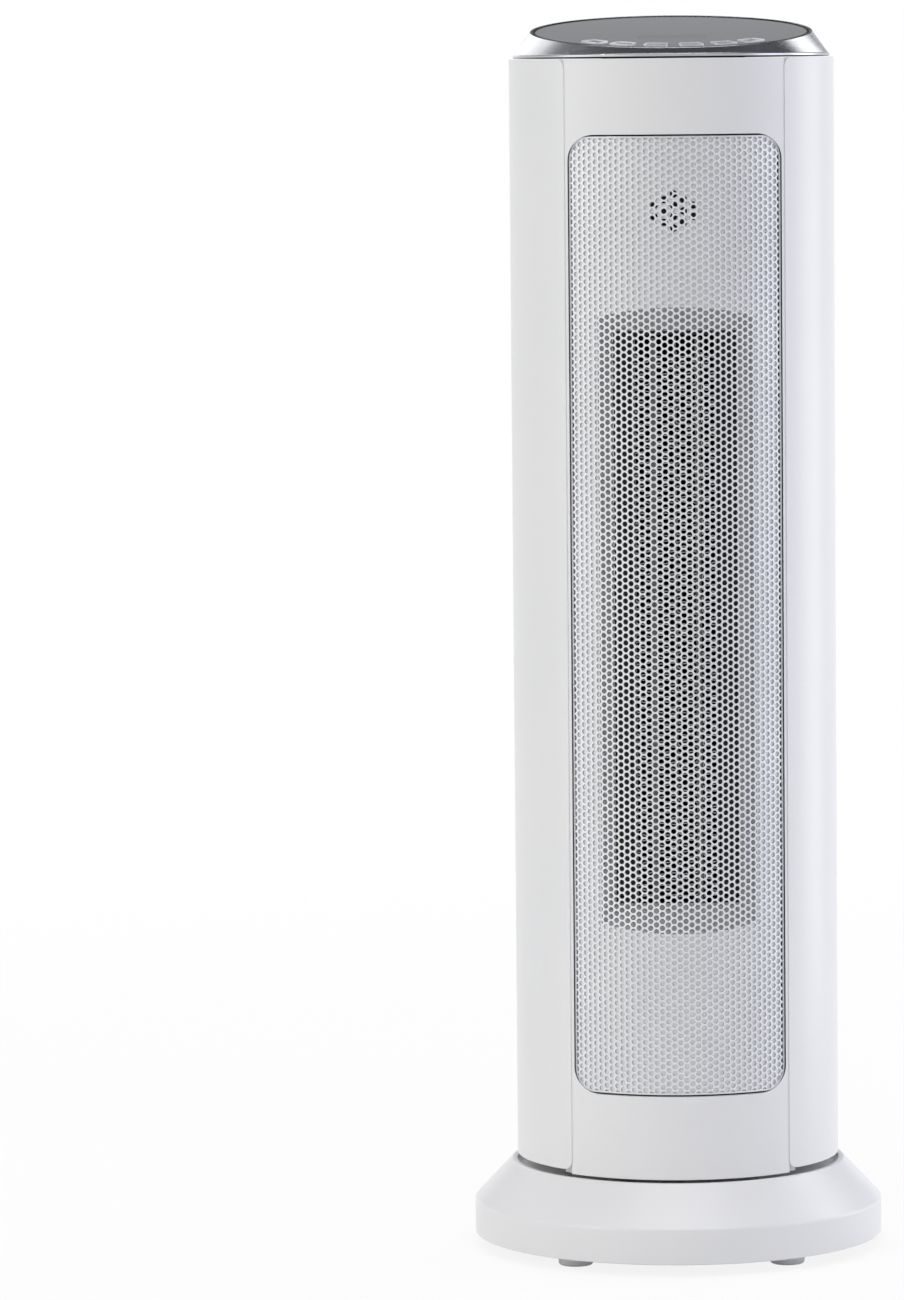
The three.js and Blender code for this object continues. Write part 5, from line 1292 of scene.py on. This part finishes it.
class HEATER_OT_switch(bpy.types.Operator):
    """Adds the mains switch: its black frame, the red rocker and the two printed marks"""

    bl_idname = "heater.switch"
    bl_label = "Mains switch"

    def execute(self, context):
        low, high = BEZEL_LOW, BEZEL_HIGH
        middle, axis = (low.z + high.z) / 2, high.y - 6.4
        bezel = block("bezel", low.x, high.x, low.y, high.y, low.z, high.z)
        cut(bezel,
            driven("mouth", rectangle(-12.4, 12.4, middle - 4, middle + 4, 0.4, 3),
                   high.y - 11, high.y + WELL_OVER),
            block("lip", low.x - 1, high.x + 1, high.y - 0.5, high.y + 1, low.z - 1, low.z + 1.6),
            rod("pivot", 1.3, middle - 5, middle + 5, 24, (0, axis)))
        bevelled(bezel, 0.25, 2, 40)
        finished(bezel, "switch_frame", "tower", "nylon_black", ["switch_bezel"])
        place = (0, axis, middle), (0, 0, 8 * DEGREE)
        # The rocker's hollow face from its middle outwards, mirrored to the other side, and its foot
        half_face = [(0, 4.45), (2.5, 4.6), (5, 4.95), (8, 5.55), (11, 6.2)]
        rocker = raised("rocker", [
            *reversed(half_face), *((-x, y) for x, y in half_face[1:]),
            (-11, 3.4), (-3, -3), (3, -3), (11, 3.4)], -3.7, 3.7)
        combined(rocker, "UNION", rod("pin", 1, -4.7, 4.7, 24))
        bevelled(rocker, 0.35, 3, 35)
        finished(placed(rocker, *place), "rocker_cap", "rocker", "polycarbonate_red",
                 ["rocker"])
        # Each mark lies along the hollow face, half sunk in it
        ink, outer, inner = 0.03, 1.9, 1.45
        ring = spun("ring", [(inner, -ink), (outer, -ink), (outer, ink), (inner, ink),
                             (inner, -ink)], 40)
        with editing(ring):
            bpy.ops.transform.resize(value=(0.85, 1.1, 1), center_override=(0, 0, 0))
            turn(TURN / 4, "X")
            turn(-8.5 * DEGREE, "Z")
            bpy.ops.transform.translate(value=(4.1, 4.89, 0))
        bar = block("bar", -outer, outer, -ink, ink, -0.3, 0.3)
        with editing(bar):
            turn(11.5 * DEGREE, "Z")
            bpy.ops.transform.translate(value=(-6.6, 5.33, 0))
        finished(placed(joined("marks", [ring, bar]), *place), "rocker_marks", "rocker",
                 "ink_white")
        return {"FINISHED"}


def slanted(obj):
    """Lays a piece that was drawn level into the lid's slanting plane."""
    return placed(obj, (0, 0, LID_MIDDLE), (LID_TILT, 0, 0))


class HEATER_OT_lid_ring(bpy.types.Operator):
    """Adds the slanting metal ring round the control panel"""

    bl_idname = "heater.lid_ring"
    bl_label = "Lid ring"

    def execute(self, context):
        foot, lip, top = RING_LOW.z, RING_LOW.z + 1.2, LID_MIDDLE
        outer, upper, ledge, inner = RING_HIGH.x, 65, 65 - 1.2, 65 - 4.5
        profile = rounded([
            (outer - 2.2, foot), (outer, foot, 0.25), (outer, lip, 0.35),
            (outer - 0.55, lip + 0.25, 0.2), (upper, top, 0.5), (ledge, top, 0.3),
            (ledge, top - 2.6, 0.2), (inner, top - 2.6), (inner, top - 3.8)], 4)
        ring = spun("ring", [*profile, profile[0]], context.scene.heater_sizes.round_steps)
        slant_from = lip + 2
        with editing(ring):
            choose(ring, "verts", lambda v: v.co.z > slant_from)
            bpy.ops.transform.resize(value=(1, 1 / math.cos(LID_TILT), 1), center_override=(0, 0, top))
        tilt = (Matrix.Translation((0, 0, top)) @ Matrix.Rotation(LID_TILT, 4, "X")
                @ Matrix.Translation((0, 0, -top)))
        for vertex in ring.data.vertices:
            if vertex.co.z > slant_from:
                vertex.co = tilt @ vertex.co
        finished(ring, "lid_ring_satin", "tower", "satin_ring", ["lid_ring"], 50)
        return {"FINISHED"}


class HEATER_OT_control_panel(bpy.types.Operator):
    """Adds the glossy control panel with the openings for its keys, a black strip as painted shade in
    the gap round it, and the display window
    """

    bl_idname = "heater.control_panel"
    bl_label = "Control panel"

    def execute(self, context):
        steps = context.scene.heater_sizes.round_steps
        radius, top, low = 62.9, -0.3, -2.3
        over = top + OVER
        profile = rounded([(0, low), (radius, low), (radius, top, 0.5), (0, top)], 4)
        panel = spun("panel", profile, steps)
        cut(panel, raised("window", rectangle(-13, 13, -27, -17, 1), low - OVER, over),
            raised("seat", rectangle(-15.15, 15.15, -29.15, -14.85, 2.1), top - 1.2, over),
            joined("keys", [raised("key", key_outline(i, 0.35), low - OVER, over) for i in range(6)]))
        bevelled(panel, 0.1, 2, 50)
        finished(slanted(panel), "control_panel_gloss", "tower", "acrylic_grey",
                 ["control_panel"], 20)
        # Black strip that fills the gap between the panel and the metal ring, as painted shade for that
        # gap
        near, far, gap_shade_top = radius + 0.05, radius + 0.85, -0.05
        seal = spun("seal", [(near, low), (far, low), (far, gap_shade_top), (near, gap_shade_top), (near, low)],
                    steps)
        finished(slanted(seal), "panel_seal", "tower", "foam_black")
        glass = bevelled(raised("glass", rectangle(-15, 15, -29, -15, 2), top - 1, top), 0.08, 2, 50)
        finished(slanted(glass), "display_glass", "tower", "acrylic_smoked",
                 ["display_window"], 20)
        return {"FINISHED"}


def key_outline(index, grow):
    """The rounded outline of one key at its place on the arc, grown by a margin."""
    radius, around = 52, (index - 2.5) * 17.3 * DEGREE
    deep, spread = 4.5 + grow, (5.5 + grow) / radius
    corners = []
    for r, side in ((radius - deep, -1), (radius - deep, 1), (radius + deep, 1), (radius + deep, -1)):
        at = around + side * spread
        corners.append((r * math.sin(at), -r * math.cos(at), 2 + grow))
    return rounded(corners, 5)


class HEATER_OT_keys(bpy.types.Operator):
    """Adds the six keys, each a flat cap in a raised silver rim"""

    bl_idname = "heater.keys"
    bl_label = "Keys"

    def execute(self, context):
        rim_width, bottom, cap_top, rim_top = 0.6, -3.4, -0.2, 0.12
        for index in range(6):
            number = f"key_{index + 1}"
            cap = raised("cap", key_outline(index, -rim_width), bottom, cap_top)
            rim = raised("rim", key_outline(index, 0), bottom, rim_top)
            cut(rim, raised("inner", key_outline(index, -rim_width), bottom - OVER, OVER))
            for piece, name, surface in ((cap, "cap", "acrylic_grey"), (rim, "rim", "silver_rim")):
                bevelled(piece, 0.12, 2, 50)
                finished(slanted(piece), f"{number}_{name}", number, surface, [number])
        return {"FINISHED"}


class HEATER_OT_inner_parts(bpy.types.Operator):
    """Gives the CAD nodes that stay in view their finishes"""

    bl_idname = "heater.inner_parts"
    bl_label = "Inner parts"

    def execute(self, context):
        wanted = {
            "abs_inner": ["base_plate", "tower_floor"],
            "acetal": ["swivel_neck", "crank_arm", "crank", "bearing_ring", "tip_plunger",
                       "upper_bearing"],
            "nylon_black": ["blower_duct", "impeller", "strain_relief", "tip_switch", "ir_receiver"],
            "zinc_bright": ["oscillation_motor", "fan_motor", "thermal_cutout"],
            "solder_mask": ["power_board", "control_board"],
        }
        for surface, names in wanted.items():
            for name in names:
                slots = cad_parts[name].material_slots
                for slot in slots:
                    slot.material = FINISHES[surface]
                if not slots:
                    raise RuntimeError(f"{name} has no material slot")
        return {"FINISHED"}


GROUPS = {"heater_sizes": HeaterSizes, "heater_colours": HeaterColours, "heater_stage": HeaterStage}
OPERATORS = [
    HEATER_OT_stage, HEATER_OT_cord, HEATER_OT_base_shell, HEATER_OT_feet, HEATER_OT_casing,
    HEATER_OT_front_panel, HEATER_OT_grille, HEATER_OT_heater_frame, HEATER_OT_element,
    HEATER_OT_rear_cover, HEATER_OT_screws, HEATER_OT_switch, HEATER_OT_lid_ring,
    HEATER_OT_control_panel, HEATER_OT_keys, HEATER_OT_inner_parts]


class HEATER_PT_panel(bpy.types.Panel):
    """Lists the heater's sizes, colours, stage and pieces"""

    bl_idname = "HEATER_PT_panel"
    bl_label = "Tower heater"
    bl_space_type = "VIEW_3D"
    bl_region_type = "UI"
    bl_category = "Heater"

    def draw(self, context):
        for group in GROUPS:
            values = getattr(context.scene, group)
            box = self.layout.box()
            for name in type(values).__annotations__:
                box.prop(values, name)
        for cls in OPERATORS:
            self.layout.operator(cls.bl_idname)


def register():
    """Registers the add-on's classes and puts its settings on the scene."""
    for cls in [*GROUPS.values(), *OPERATORS, HEATER_PT_panel]:
        bpy.utils.register_class(cls)
    for name, group in GROUPS.items():
        setattr(bpy.types.Scene, name, PointerProperty(type=group))


def unregister():
    """Takes the add-on's classes and settings away again."""
    for name in GROUPS:
        delattr(bpy.types.Scene, name)
    for cls in reversed([*GROUPS.values(), *OPERATORS, HEATER_PT_panel]):
        bpy.utils.unregister_class(cls)


def main():
    """Builds the whole heater."""
    register()
    make_finishes()
    for cls in OPERATORS:
        group, name = cls.bl_idname.split(".")
        getattr(getattr(bpy.ops, group), name)()
    deselect()


if __name__ == "__main__":
    main()
